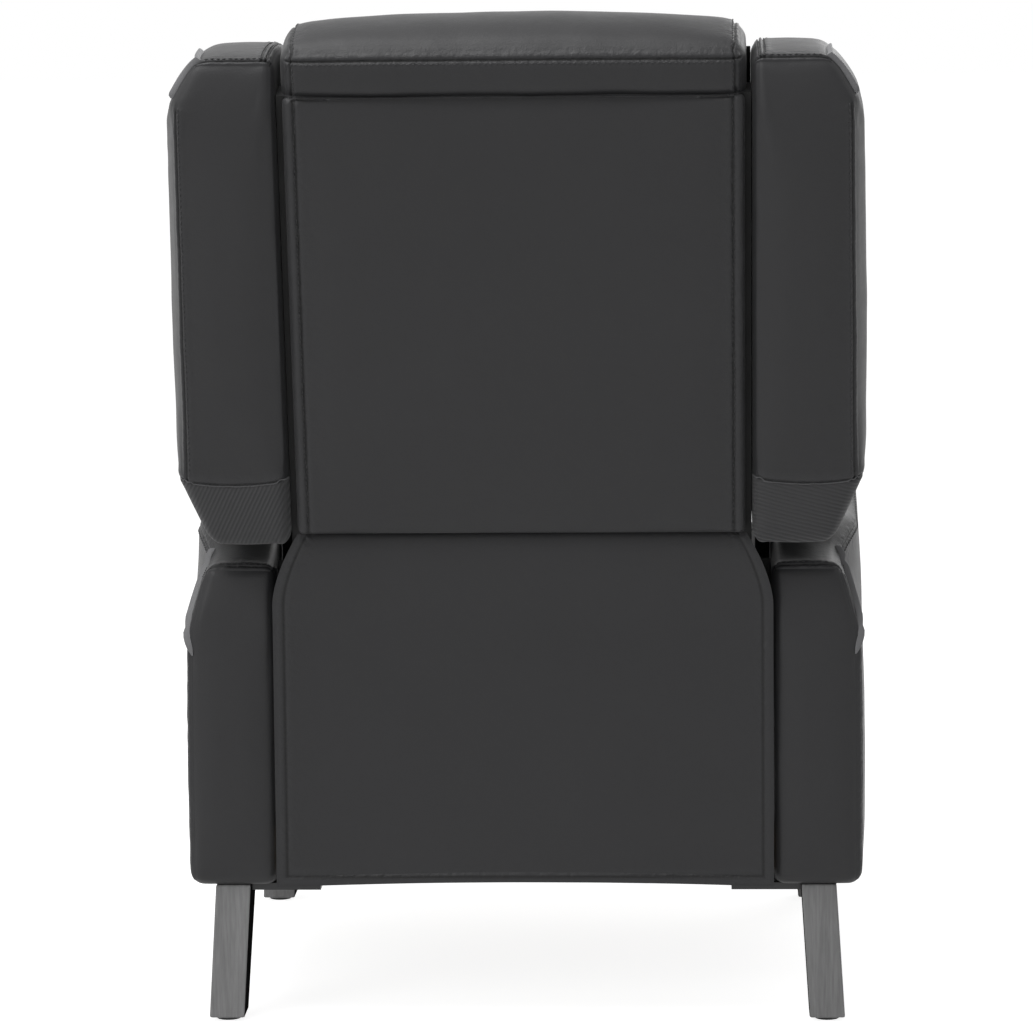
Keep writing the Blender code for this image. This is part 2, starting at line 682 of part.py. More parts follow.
def build_base_plate(word, side, carrier, finishes):
    """Steel side plate of the mechanism, with studs for both seat links and the back."""
    low = LINK_PIVOT_HEIGHT - BASE_PLATE_HALF_HEIGHT
    high = LINK_PIVOT_HEIGHT + BASE_PLATE_HALF_HEIGHT
    front = FRONT_LINK_PIVOT.y - BASE_PLATE_HALF_HEIGHT
    rear = BACK_PIVOT.y + BASE_PLATE_HALF_HEIGHT
    web = BACK_PIVOT.y - BASE_PLATE_HALF_HEIGHT
    top = BACK_PIVOT.z + BASE_PLATE_HALF_HEIGHT
    slope = top - high
    outline = rounded(
        [
            (side_point(front, low), PLATE_CORNER),
            (side_point(rear, low), PLATE_CORNER),
            (side_point(rear, top), PLATE_CORNER),
            (side_point(web, top), PLATE_CORNER),
            (side_point(web - slope, high), PLATE_CORNER),
            (side_point(front, high), PLATE_CORNER),
        ]
    )
    spacing = (FRONT_LINK_PIVOT.y - REAR_LINK_PIVOT.y) / 4
    holes = [
        circle(REAR_LINK_PIVOT + side_point(spacing * number, 0), EYE_RADIUS)
        for number in (1, 3)
    ]
    bm = plate([outline] + holes, BASE_PLATE_INNER, BASE_PLATE_OUTER)
    name = f"base_plate_{word}"
    obj = add_object(name, mirrored(bm, side), carrier, finishes["steel"])
    studs = bmesh.new()
    for pivot in (BACK_PIVOT, FRONT_LINK_PIVOT, REAR_LINK_PIVOT):
        cross_rod(LINK_INNER, BASE_PLATE_INNER + BASE_PLATE_THICKNESS / 2, pivot, STUD_RADIUS, studs)
    apply_tool(obj, mirrored(studs, side), "UNION", carrier)


def build_link(end, base_pivot, word, side, carrier, finishes):
    """A flat seat link, from its stud on the base plate to its stud on the seat plate."""
    hole = STUD_RADIUS + PIN_CLEARANCE
    seat_pivot = base_pivot + LINK_REACH
    outlines = [
        capsule(base_pivot, seat_pivot, EYE_RADIUS),
        circle(base_pivot, hole),
        circle(seat_pivot, hole),
    ]
    bm = plate(outlines, LINK_INNER, LINK_OUTER)
    add_object(f"seat_link_{end}_{word}", mirrored(bm, side), carrier, finishes["steel"])


def build_seat_plate(word, side, carrier, finishes):
    """Steel side plate under the seat: a web with the two slots, and a flange under the frame."""
    top = SEAT_TOP_FLANGE
    bottom = top - SEAT_PLATE_DEPTH
    wall = SLOT_ROD_RADIUS + SLOT_WALL
    slot_low = SLOT_PIVOT
    slot_high = scissor_point(0, 1, OPENED)
    pin_low = PUSH_PIN - side_point(0, PUSH_SLOT_RUN)
    tail_wall = STUD_RADIUS + SLOT_WALL
    front = slot_low.y - wall
    outline = rounded(
        [
            (side_point(front, top), PLATE_CORNER),
            (side_point(front, slot_low.z - wall), PLATE_CORNER),
            (side_point(slot_low.y + wall, slot_low.z - wall), PLATE_CORNER),
            (side_point(slot_high.y + wall, bottom), PLATE_CORNER),
            (side_point(REAR_LINK_PIVOT.y, bottom), PLATE_CORNER),
            (side_point(pin_low.y - tail_wall, pin_low.z - tail_wall), PLATE_CORNER),
            (side_point(pin_low.y + tail_wall, pin_low.z - tail_wall), PLATE_CORNER),
            (side_point(pin_low.y + tail_wall, PUSH_PIN.z + tail_wall), PLATE_CORNER),
            (side_point(-SEAT_PLATE_REAR, bottom + tail_wall), PLATE_CORNER),
            (side_point(-SEAT_PLATE_REAR, top), PLATE_CORNER),
        ]
    )
    slots = [
        capsule(slot_low, slot_high, SLOT_ROD_RADIUS + PIN_CLEARANCE),
        capsule(pin_low, PUSH_PIN, STUD_RADIUS + PIN_CLEARANCE),
    ]
    bm = plate([outline] + slots, SEAT_PLATE_INNER, SEAT_PLATE_OUTER)
    obj = add_object(f"seat_plate_{word}", mirrored(bm, side), carrier, finishes["steel"])
    root = SEAT_PLATE_OUTER - SEAT_PLATE_THICKNESS / 2
    extras = block(
        (SEAT_PLATE_INNER - SEAT_FLANGE_WIDTH, front + PLATE_CORNER, top - SEAT_FLANGE_THICKNESS),
        (root, -SEAT_PLATE_REAR - PLATE_CORNER, top),
    )
    for pivot in (FRONT_SEAT_PIVOT, REAR_SEAT_PIVOT):
        cross_rod(root, LINK_OUTER, pivot, STUD_RADIUS, extras)
    cross_rod(INNER_BAR_INNER, root, SCISSOR_PIVOT, STUD_RADIUS, extras)
    apply_tool(obj, mirrored(extras, side), "UNION", carrier)
    collar = cross_rod(OUTER_BAR_INNER, root, SCISSOR_PIVOT, SPACER_RADIUS)
    apply_tool(obj, mirrored(collar, side), "UNION", carrier)


def build_bar(name, ends, holes, studs, layer, side, carrier, finishes):
    """One flat bar of the folding linkage. A stud is a pivot and the far end of its pin."""
    low_x, high_x = layer
    outlines = [capsule(*ends, BAR_HALF_WIDTH)] + [circle(*hole) for hole in holes]
    bm = plate(outlines, low_x, high_x)
    obj = add_object(name, mirrored(bm, side), carrier, finishes["steel"])
    if studs:
        pins = bmesh.new()
        for pivot, far_x in studs:
            root = (low_x + high_x) / 2
            cross_rod(min(root, far_x), max(root, far_x), pivot, STUD_RADIUS, pins)
        apply_tool(obj, mirrored(pins, side), "UNION", carrier)
    return obj


def build_scissor(word, side, bodies, finishes):
    """The folding bars on one side: two crossing pairs, with the second pair half length."""
    hole = STUD_RADIUS + PIN_CLEARANCE
    outer = (OUTER_BAR_INNER, OUTER_BAR_OUTER)
    inner = (INNER_BAR_INNER, INNER_BAR_OUTER)
    build_bar(
        f"drive_bar_{word}",
        (SCISSOR_PIVOT, LOWER_ELBOW),
        [(SCISSOR_PIVOT, hole), (FIRST_CROSS, hole)],
        [(LOWER_ELBOW, OUTER_BAR_OUTER)],
        inner,
        side,
        bodies["drive"],
        finishes,
    )
    build_bar(
        f"slide_bar_{word}",
        (SLOT_PIVOT, UPPER_ELBOW),
        [(SLOT_PIVOT, SLOT_ROD_RADIUS + PIN_CLEARANCE)],
        [(FIRST_CROSS, INNER_BAR_INNER), (UPPER_ELBOW, INNER_BAR_INNER)],
        outer,
        side,
        bodies["slide"],
        finishes,
    )
    build_bar(
        f"tie_bar_{word}",
        (LOWER_ELBOW, SECOND_CROSS),
        [(LOWER_ELBOW, hole)],
        [(SECOND_CROSS, INNER_BAR_INNER)],
        outer,
        side,
        bodies["tie"],
        finishes,
    )
    arm = build_bar(
        f"footrest_arm_{word}",
        (UPPER_ELBOW, FOOTREST_EYE),
        [(UPPER_ELBOW, hole), (SECOND_CROSS, STUD_RADIUS + OPEN_PIVOT_CLEARANCE)],
        [],
        inner,
        side,
        bodies["footrest"],
        finishes,
    )
    face = BOARD_REAR + SEAT_GAP
    gusset = plate(
        [
            [
                side_point(face, ARM_FLANGE_TOP),
                side_point(face, ARM_FLANGE_BOTTOM),
                FOOTREST_EYE,
                between(UPPER_ELBOW, FOOTREST_EYE, GUSSET_LOW_SHARE),
                between(UPPER_ELBOW, FOOTREST_EYE, GUSSET_HIGH_SHARE)
                + side_point(-BAR_HALF_WIDTH / 2, 0),
                side_point(face + ARM_FLANGE_THICKNESS, ARM_FLANGE_TOP),
            ]
        ],
        INNER_BAR_INNER,
        INNER_BAR_OUTER,
    )
    apply_tool(arm, mirrored(gusset, side), "UNION", bodies["footrest"])
    flange = block(
        (INNER_BAR_INNER - ARM_FLANGE_WIDTH, face, ARM_FLANGE_BOTTOM),
        (INNER_BAR_OUTER, face + ARM_FLANGE_THICKNESS, ARM_FLANGE_TOP),
    )
    apply_tool(arm, mirrored(flange, side), "UNION", bodies["footrest"])


def build_cross_pieces(bodies, finishes):
    """Tubes and the rod that join the two sides of the mechanism."""
    pieces = (
        (
            "base_cross_tube",
            BASE_PLATE_INNER - SEAT_GAP,
            side_point(-CROSS_TUBE_SETBACK, LINK_PIVOT_HEIGHT),
            CROSS_TUBE_RADIUS,
            "base",
        ),
        ("link_tube", LINK_INNER - SEAT_GAP, FRONT_LINK_PIVOT, LINK_TUBE_RADIUS, "front_links"),
        ("drive_tube", INNER_BAR_INNER - SEAT_GAP, SCISSOR_PIVOT, TORQUE_TUBE_RADIUS, "drive"),
        ("slot_rod", SEAT_PLATE_OUTER - SEAT_GAP, SLOT_PIVOT, SLOT_ROD_RADIUS, "slide"),
    )
    for name, half, centre, radius, body in pieces:
        add_object(name, cross_rod(-half, half, centre, radius), bodies[body], finishes["steel"])


def build_seat_frame(carrier, finishes):
    """A wooden seat ring on the plates' flanges, with sinuous springs across its opening."""
    half = ARM_INNER - SEAT_FRAME_SIDE_INSET
    low = SEAT_TOP_FLANGE + SEAT_GAP
    high = low + SEAT_FRAME_HEIGHT
    obj = add_object(
        "seat_frame",
        block((-half, -SEAT_FRAME_FRONT, low), (half, -SEAT_FRAME_REAR, high)),
        carrier,
        finishes["wood"],
    )
    inner_front = -SEAT_FRAME_FRONT + SEAT_FRAME_RAIL
    inner_rear = -SEAT_FRAME_REAR - SEAT_FRAME_RAIL
    inner_half = half - SEAT_FRAME_RAIL
    opening = block(
        (-inner_half, inner_front, low - OVERRUN),
        (inner_half, inner_rear, high + OVERRUN),
    )
    apply_tool(obj, opening, "DIFFERENCE", carrier)
    level = (low + high) / 2
    steps = SEAT_SPRING_WAVE_STEPS * SEAT_SPRING_WAVES
    run = inner_rear - inner_front - 2 * SEAT_GAP
    pitch = 2 * inner_half / SEAT_SPRING_COUNT
    for number in range(SEAT_SPRING_COUNT):
        centre = (number - (SEAT_SPRING_COUNT - 1) / 2) * pitch
        wire = bpy.data.curves.new(f"seat_spring_{number + 1}", "CURVE")
        wire.dimensions = "3D"
        wire.bevel_depth = SEAT_SPRING_WIRE
        wire.bevel_resolution = 0
        wire.use_fill_caps = True
        spline = wire.splines.new("POLY")
        spline.points.add(steps)
        for step, point in enumerate(spline.points):
            share = step / steps
            fade = smooth(SEAT_SPRING_WAVES * min(share, 1 - share))
            swing = SEAT_SPRING_SWING * math.sin(2 * math.pi * SEAT_SPRING_WAVES * share)
            across = centre + fade * swing
            along = inner_front + SEAT_GAP + run * share
            point.co = (across, along, level, 1)
        wire.materials.append(finishes["steel"])
        spring = bpy.data.objects.new(f"seat_spring_{number + 1}", wire)
        bpy.context.scene.collection.objects.link(spring)
        spring.parent = carrier
        spring.location = -Vector(carrier["place"])


def build_seat_cushion(carrier, finishes):
    """The seat cushion: a crown, side channels and a sewn roll along the front."""
    deck = SEAT_TOP_FLANGE + SEAT_GAP + SEAT_FRAME_HEIGHT + SEAT_GAP
    low_z = deck - SEAT_LIP_DROP
    high_z = deck + SEAT_CUSHION_HEIGHT
    half = ARM_INNER - SOFT_GAP
    front = -CHAIR_DEPTH
    rear = -SEAT_FRAME_REAR
    middle_y = (front + rear) / 2
    roll_line = front + SEAT_ROLL_SETBACK

    def sew(place):
        depth = groove(abs(place.x) - SEAT_CHANNEL_PLACE, SEAT_CHANNEL_WIDTH)
        depth *= smooth((place.y - roll_line) / SEAT_CHANNEL_WIDTH + 1)
        depth = max(depth, groove(place.y - roll_line, SEAT_CHANNEL_WIDTH))
        share = smooth((place.z - low_z) / SEAT_CUSHION_HEIGHT)
        return place - Vector((0, 0, SEAT_CHANNEL_DEPTH * depth * share))

    channels = [SEAT_CHANNEL_PLACE + SEAT_CHANNEL_WIDTH * step for step in (-1, 0, 1)]
    rolls = [roll_line - middle_y + SEAT_CHANNEL_WIDTH * step for step in (-1, 0, 1)]
    bm = padded_block(
        (-half, front, low_z),
        (half, rear, high_z),
        SEAT_CUSHION_ROUNDING,
        ((0, 0), (SOFT_GAP, 0), (0, SEAT_CUSHION_CROWN)),
        (4, 4, 1),
        (channels + [-place for place in channels], rolls, ()),
        sew,
    )
    obj = add_object("seat_cushion", bm, carrier, finishes["leather"])
    space = block(
        (-HALF_WIDTH, -SEAT_FRAME_FRONT - SEAT_GAP, low_z - OVERRUN),
        (HALF_WIDTH, rear + OVERRUN, deck),
    )
    apply_tool(obj, space, "DIFFERENCE", carrier)


def build_footrest(carrier, finishes):
    half = ARM_INNER - FOOTREST_SIDE_GAP
    board_front = BOARD_REAR - FOOTREST_BOARD_THICKNESS
    board = block((-half, board_front, FOOTREST_BOTTOM), (half, BOARD_REAR, FOOTREST_TOP))
    add_object("footrest_board", board, carrier, finishes["plywood"])
    cushion = padded_block(
        (-half, -CHAIR_DEPTH, FOOTREST_BOTTOM - FOOTREST_EDGE),
        (half, board_front - SEAT_GAP, FOOTREST_TOP + FOOTREST_EDGE),
        FOOTREST_CUSHION_ROUNDING,
        ((0, 0), (FOOTREST_CROWN, 0), (0, 0)),
        (5, 1, 4),
    )
    add_object("footrest_cushion", cushion, carrier, finishes["leather"])


def back_point(place):
    """A point of the side view in the back's own frame."""
    turn = Matrix.Rotation(BACK_LEAN, 3, "X")
    return turn @ (place - BACK_PIVOT)


def build_bracket(word, side, carrier, finishes):
    """A bent steel bracket from the back's frame to its pivot and the pin that pushes the seat."""
    pivot = Vector((0, 0, 0))
    pin = back_point(PUSH_PIN)
    rail_centre = BACK_REAR - BACK_PANEL_THICKNESS - SEAT_GAP - BACK_FRAME_THICKNESS / 2
    rear = rail_centre + BRACKET_HALF_WIDTH
    front = rail_centre - BRACKET_HALF_WIDTH
    bend = BACK_FRAME_BOTTOM + BRACKET_HALF_WIDTH
    outline = rounded(
        [
            (side_point(-BRACKET_HALF_WIDTH, -BRACKET_HALF_WIDTH / 2), PLATE_CORNER),
            (side_point(pin.y - EYE_RADIUS, pin.z - EYE_RADIUS), PLATE_CORNER),
            (side_point(pin.y + EYE_RADIUS, pin.z - EYE_RADIUS), PLATE_CORNER),
            (side_point(BRACKET_BELLY, -BRACKET_HALF_WIDTH), PLATE_CORNER),
            (side_point(rear, bend - BRACKET_HALF_WIDTH), PLATE_CORNER),
            (side_point(rear, BRACKET_TOP), PLATE_CORNER),
            (side_point(front, BRACKET_TOP), PLATE_CORNER),
            (side_point(front, bend + BRACKET_HALF_WIDTH), PLATE_CORNER),
            (side_point(-BRACKET_HALF_WIDTH, BRACKET_HALF_WIDTH), PLATE_CORNER),
        ]
    )
    bm = plate([outline, circle(pivot, STUD_RADIUS + PIN_CLEARANCE)], LINK_INNER, LINK_OUTER)
    obj = add_object(f"back_bracket_{word}", mirrored(bm, side), carrier, finishes["steel"], True)
    root = (LINK_INNER + LINK_OUTER) / 2
    stud = cross_rod(SEAT_PLATE_INNER, root, pin, STUD_RADIUS)
    apply_tool(obj, mirrored(stud, side), "UNION", carrier, True)


def build_back_frame(carrier, finishes):
    """Two stiles and three rails, with the openings between them cut through."""
    rear = BACK_REAR - BACK_PANEL_THICKNESS - SEAT_GAP
    front = rear - BACK_FRAME_THICKNESS
    half = BACK_FRAME_HALF_WIDTH
    whole = block((-half, front, BACK_FRAME_BOTTOM), (half, rear, BACK_PANEL_TOP))
    obj = add_object("back_frame", whole, carrier, finishes["wood"], True)
    inner_half = half - BACK_FRAME_RAIL
    spans = (
        (BACK_FRAME_BOTTOM + BACK_FRAME_RAIL, BACK_MID_RAIL),
        (BACK_MID_RAIL + BACK_FRAME_RAIL, BACK_PANEL_TOP - BACK_FRAME_RAIL),
    )
    for low, high in spans:
        opening = block((-inner_half, front - OVERRUN, low), (inner_half, rear + OVERRUN, high))
        apply_tool(obj, opening, "DIFFERENCE", carrier, True)


def build_rear_panel(carrier, finishes):
    bm = padded_block(
        (-BACK_PANEL_HALF_WIDTH, BACK_REAR - BACK_PANEL_THICKNESS, BACK_PANEL_BOTTOM),
        (BACK_PANEL_HALF_WIDTH, BACK_REAR, BACK_PANEL_TOP),
        BACK_PANEL_ROUNDING,
        ((0, 0), (0, BACK_PANEL_CROWN), (0, 0)),
        (4, 1, 4),
    )
    add_object("rear_panel", bm, carrier, finishes["leather"], True)


def build_back_cushion(carrier, finishes):
    """The back cushion: bolsters between sewn channels and a lumbar seam across."""
    rear = BACK_REAR - BACK_PANEL_THICKNESS - BACK_FRAME_THICKNESS - 2 * SEAT_GAP
    depth = rear - BACK_CUSHION_FRONT
    middle_z = (BACK_CUSHION_BOTTOM + BACK_CUSHION_TOP) / 2

    def sew(place):
        sides = groove(abs(place.x) - BACK_BOLSTER_PLACE, BACK_CHANNEL_WIDTH)
        across = groove(place.z - LUMBAR_SEAM, BACK_CHANNEL_WIDTH)
        inside = smooth((BACK_BOLSTER_PLACE - abs(place.x)) / BACK_CHANNEL_WIDTH + 1)
        share = smooth((rear - place.y) / depth)
        return place + Vector((0, BACK_CHANNEL_DEPTH * share * max(sides, across * inside), 0))

    channels = [BACK_BOLSTER_PLACE + BACK_CHANNEL_WIDTH * step for step in (-1, 0, 1)]
    seams = [LUMBAR_SEAM - middle_z + BACK_CHANNEL_WIDTH * step for step in (-1, 0, 1)]
    bm = padded_block(
        (-BACK_CUSHION_HALF_WIDTH, BACK_CUSHION_FRONT, BACK_CUSHION_BOTTOM),
        (BACK_CUSHION_HALF_WIDTH, rear, BACK_CUSHION_TOP),
        BACK_CUSHION_ROUNDING,
        ((0, 0), (BACK_CUSHION_CROWN, 0), (0, 0)),
        (4, 1, 5),
        (channels + [-place for place in channels], (), seams),
        sew,
    )
    add_object("back_cushion", bm, carrier, finishes["leather"], True)


def build_head_cushion(carrier, finishes):
    """The head roll: in front of the frame's top and over it, down to the rear panel."""

    def slope(place):
        rear_share = smooth((place.y - HEAD_CUSHION_FRONT) / (BACK_REAR - HEAD_CUSHION_FRONT))
        high_share = (place.z - BACK_PANEL_TOP) / (HEAD_CUSHION_TOP - BACK_PANEL_TOP)
        drop = HEAD_REAR_DROP * rear_share**2 + HEAD_FRONT_DROP * (1 - rear_share) ** 2
        return place - Vector((0, 0, drop * max(high_share, 0)))

    bm = padded_block(
        (-BACK_CUSHION_HALF_WIDTH, HEAD_CUSHION_FRONT, HEAD_CUSHION_BOTTOM),
        (BACK_CUSHION_HALF_WIDTH, BACK_REAR, HEAD_CUSHION_TOP),
        HEAD_CUSHION_ROUNDING,
        ((0, 0), (HEAD_CUSHION_CROWN, 0), (0, HEAD_CUSHION_CROWN)),
        (5, 3, 3),
        reshape=slope,
    )
    obj = add_object("head_cushion", bm, carrier, finishes["leather"], True)
    front = BACK_REAR - BACK_PANEL_THICKNESS - BACK_FRAME_THICKNESS - 2 * SEAT_GAP
    space = block(
        (-HALF_WIDTH, front, HEAD_CUSHION_BOTTOM - OVERRUN),
        (HALF_WIDTH, BACK_REAR + OVERRUN, BACK_PANEL_TOP + SEAT_GAP),
    )
    apply_tool(obj, space, "DIFFERENCE", carrier, True)


def wing_inset(z):
    """How far a wing's outer side is drawn in at a height: at its shoulder and at its hem."""
    shoulder = max((z - WING_SHOULDER) / (WING_TOP - WING_SHOULDER), 0)
    hem = max((WING_HEM - z) / (WING_HEM - WING_BOTTOM), 0)
    return WING_SHOULDER_IN * shoulder + WING_HEM_IN * hem


def build_wing(word, side, carrier, finishes):
    inner = BACK_FRAME_HALF_WIDTH + WING_INNER_GAP
    width = HALF_WIDTH - inner
    middle_z = (WING_BOTTOM + WING_TOP) / 2

    def shape(place):
        share = (place.x - inner) / width
        forward = (BACK_REAR - place.y) / (BACK_REAR - WING_FRONT)
        bulge = math.sin(math.pi * (place.z - WING_BOTTOM) / (WING_TOP - WING_BOTTOM))
        x = place.x - wing_inset(place.z) * share
        high = smooth((place.z - WING_DROP_START) / (WING_TOP - WING_DROP_START))
        z = place.z - WING_FRONT_DROP * high * max(forward, 0) ** 2
        return Vector((x, place.y - WING_FRONT_BULGE * bulge * forward, z))

    bm = padded_block(
        (inner, WING_FRONT, WING_BOTTOM),
        (HALF_WIDTH, BACK_REAR + WING_REAR_PROUD, WING_TOP),
        WING_ROUNDING,
        ((0, WING_SIDE_CROWN), (0, 0), (0, 0)),
        (1, 3, 6),
        ((), (), [WING_SHOULDER - middle_z, WING_HEM - middle_z]),
        shape,
    )
    build_wing_piping(word, side, BVHTree.FromBMesh(bm), carrier, finishes)
    add_object(f"wing_{word}", mirrored(bm, side), carrier, finishes["leather"], True)


def build_wing_piping(word, side, surface, carrier, finishes):
    """Grey flat piping over the wing's drawn-in shoulder."""
    rungs = []
    top = WING_TOP - WING_PIPING_TOP_DROP
    for number in range(WING_PIPING_STEPS + 1):
        share = closing_steps(number, WING_PIPING_STEPS)
        z = between(top - WING_PIPING_LENGTH, top, share)
        y = BACK_REAR - WING_PIPING_SETBACK
        rungs.append(piping_rung(surface, y, z, HALF_WIDTH + WING_SIDE_CROWN))
    name = f"wing_piping_{word}"
    add_object(name, mirrored(strip(rungs), side), carrier, finishes["piping"], True)


def build_flap(carrier, finishes):
    """The loose leather sheet behind the seat, from under the rear panel to the rear rail."""
    bm = bmesh.new()
    bmesh.ops.create_grid(bm, x_segments=FLAP_CELLS, y_segments=FLAP_CELLS, size=0.5)
    for vert in bm.verts:
        across = 2 * vert.co.x
        share = vert.co.y + 0.5
        low = FLAP_BOTTOM + FLAP_BOTTOM_RISE * (1 - across * across)
        z = between(low, FLAP_TOP, share)
        widening = (FLAP_WIDENING_TOP - z) / (FLAP_WIDENING_TOP - FLAP_WIDENING_BOTTOM)
        half = between(FLAP_TOP_HALF_WIDTH, FLAP_HALF_WIDTH, smooth(widening))
        tuck = (z - FLAP_TUCK_START) / (FLAP_TOP - FLAP_TUCK_START)
        y = SEAT_GAP + FLAP_TUCK * smooth(tuck)
        vert.co = Vector((across * half, y, z))
    bmesh.ops.recalc_face_normals(bm, faces=bm.faces)
    if bm.faces[0].normal.y < 0:
        bmesh.ops.reverse_faces(bm, faces=bm.faces)
    obj = add_object("rear_flap", bm, carrier, finishes["leather"])
    wall = obj.modifiers.new("Thickness", "SOLIDIFY")
    wall.thickness = FLAP_THICKNESS
    wall.offset = 1


def centre_on_floor(chair):
    """Moves the chair so that the middle of its floor box is the origin."""
    bpy.context.view_layer.update()
    graph = bpy.context.evaluated_depsgraph_get()
    reach = []
    for obj in bpy.context.scene.objects:
        if obj.type == "EMPTY" or obj.hide_render:
            continue
        evaluated = obj.evaluated_get(graph)
        mesh = evaluated.to_mesh()
        reach += [(evaluated.matrix_world @ vert.co).y for vert in mesh.vertices]
        evaluated.to_mesh_clear()
    chair.location.y = -(min(reach) + max(reach)) / 2
    print("chair moved along Y by", round(chair.location.y, 6))


def main():
    start_scene()
    finishes = {
        "leather": paint("leather", (0.040, 0.040, 0.042), 0.45),
        "piping": paint("piping", (0.125, 0.125, 0.130), 0.50),
        "stained_wood": paint("stained_wood", (0.150, 0.150, 0.152), 0.60),
        "wood": paint("wood", (0.520, 0.390, 0.240), 0.70),
        "plywood": paint("plywood", (0.560, 0.440, 0.290), 0.70),
        "steel": paint("steel", (0.030, 0.030, 0.032), 0.40, 0.6),
        "dark_steel": paint("dark_steel", (0.020, 0.020, 0.021), 0.50, 0.6),
        "plastic": paint("plastic", (0.015, 0.015, 0.016), 0.55),
    }
    chair = axis_empty("chair", Vector((0, 0, 0)))
    bodies = {"base": chair}
    axes = (
        ("front_links", FRONT_LINK_PIVOT),
        ("rear_links", REAR_LINK_PIVOT),
        ("seat", FRONT_SEAT_PIVOT),
        ("drive", SCISSOR_PIVOT),
        ("slide", FIRST_CROSS),
        ("tie", LOWER_ELBOW),
        ("footrest", UPPER_ELBOW),
    )
    for name, place in axes:
        bodies[name] = axis_empty(f"{name}_axis", place, chair)
    bodies["back"] = axis_empty("back_axis", BACK_PIVOT, chair, BACK_LEAN)
    for word, side in SIDES:
        build_arm(word, side, bodies["base"], finishes)
        build_base_plate(word, side, bodies["base"], finishes)
        for end in ("front", "rear"):
            build_leg(end, word, side, bodies["base"], finishes)
        build_link("front", FRONT_LINK_PIVOT, word, side, bodies["front_links"], finishes)
        build_link("rear", REAR_LINK_PIVOT, word, side, bodies["rear_links"], finishes)
        build_seat_plate(word, side, bodies["seat"], finishes)
        build_scissor(word, side, bodies, finishes)
        build_bracket(word, side, bodies["back"], finishes)
        build_wing(word, side, bodies["back"], finishes)
    build_rails(bodies["base"], finishes)
    build_cross_pieces(bodies, finishes)
    build_seat_frame(bodies["seat"], finishes)
    build_seat_cushion(bodies["seat"], finishes)
    build_footrest(bodies["footrest"], finishes)
    build_back_frame(bodies["back"], finishes)
    build_rear_panel(bodies["back"], finishes)
    build_back_cushion(bodies["back"], finishes)
    build_head_cushion(bodies["back"], finishes)
    build_flap(bodies["base"], finishes)
    centre_on_floor(chair)


main()
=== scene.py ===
"""The looks of a wing-back push-back recliner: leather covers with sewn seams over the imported
frame, a loose leather flap behind the seat, stained legs and the steel linkages."""

import json
import math

import bmesh
import bpy
from mathutils import Matrix, Vector, noise
from mathutils.bvhtree import BVHTree


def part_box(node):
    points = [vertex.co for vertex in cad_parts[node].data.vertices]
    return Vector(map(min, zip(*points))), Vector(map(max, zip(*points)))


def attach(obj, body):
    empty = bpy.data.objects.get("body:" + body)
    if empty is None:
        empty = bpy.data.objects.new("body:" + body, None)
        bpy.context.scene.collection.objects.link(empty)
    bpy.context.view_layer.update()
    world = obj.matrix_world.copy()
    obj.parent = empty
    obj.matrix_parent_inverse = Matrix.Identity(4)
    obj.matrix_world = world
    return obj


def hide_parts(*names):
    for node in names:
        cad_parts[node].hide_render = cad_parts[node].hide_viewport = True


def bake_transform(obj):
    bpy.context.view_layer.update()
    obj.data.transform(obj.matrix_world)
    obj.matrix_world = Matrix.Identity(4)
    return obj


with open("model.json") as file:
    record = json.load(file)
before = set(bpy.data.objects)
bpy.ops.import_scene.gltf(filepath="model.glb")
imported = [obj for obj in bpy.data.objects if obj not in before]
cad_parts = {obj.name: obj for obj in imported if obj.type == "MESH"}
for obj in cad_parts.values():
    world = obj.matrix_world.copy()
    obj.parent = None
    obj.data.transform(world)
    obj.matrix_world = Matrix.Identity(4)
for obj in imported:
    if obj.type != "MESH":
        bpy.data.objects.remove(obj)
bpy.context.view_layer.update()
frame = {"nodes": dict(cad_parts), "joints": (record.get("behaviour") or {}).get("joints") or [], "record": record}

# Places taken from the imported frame, the back's lean, and the smallest gaps
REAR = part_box("rear_rail")[1].y
PIVOT = next(Vector(j["pos_m"]) for j in frame["joints"] if j["name"] == "back_recline")
BACK_LEAN = math.radians(14)
SIDES = (("left", 1), ("right", -1))
BACK_TURN = Matrix.Rotation(-BACK_LEAN, 3, "X")
NEAR = 0.0001
SEAT_GAP = 0.0004

# Arms, in chair places: y forward of the arms' rear faces
HALF_WIDTH = 0.360
CHAIR_DEPTH = 0.690
ARM_INNER = 0.264
ARM_BOTTOM = 0.150
ARM_REAR_HEIGHT = 0.495
ARM_SADDLE_HEIGHT = 0.534
ARM_SADDLE_SETBACK = 0.160
ARM_CREST_HEIGHT = 0.598
ARM_CREST_SETBACK = 0.380
ARM_FRONT_HEIGHT = 0.578
ARM_NOSE_DROP = 0.030
ARM_NOSE_DEPTH = 0.110
ARM_ROUNDING = 0.015
ARM_CROWN = 0.002
ARM_LEAN_START = 0.407
ARM_LEAN_END = 0.527
ARM_LEAN_IN = 0.026
ARM_FRONT_LEAN_IN = 0.001
ARM_LEAN_HOLD = 0.045
ARM_LEAN_FADE = 0.110
ARM_BROW = 0.013
BROW_HEIGHT = 0.080
BROW_DEPTH = 0.090
ARM_TOP_SEAM = 0.007
ARM_SIDE_SEAM = 0.011
ARM_ROW_OUTER_END = 0.016
ARM_ROW_LOW_END = 0.020

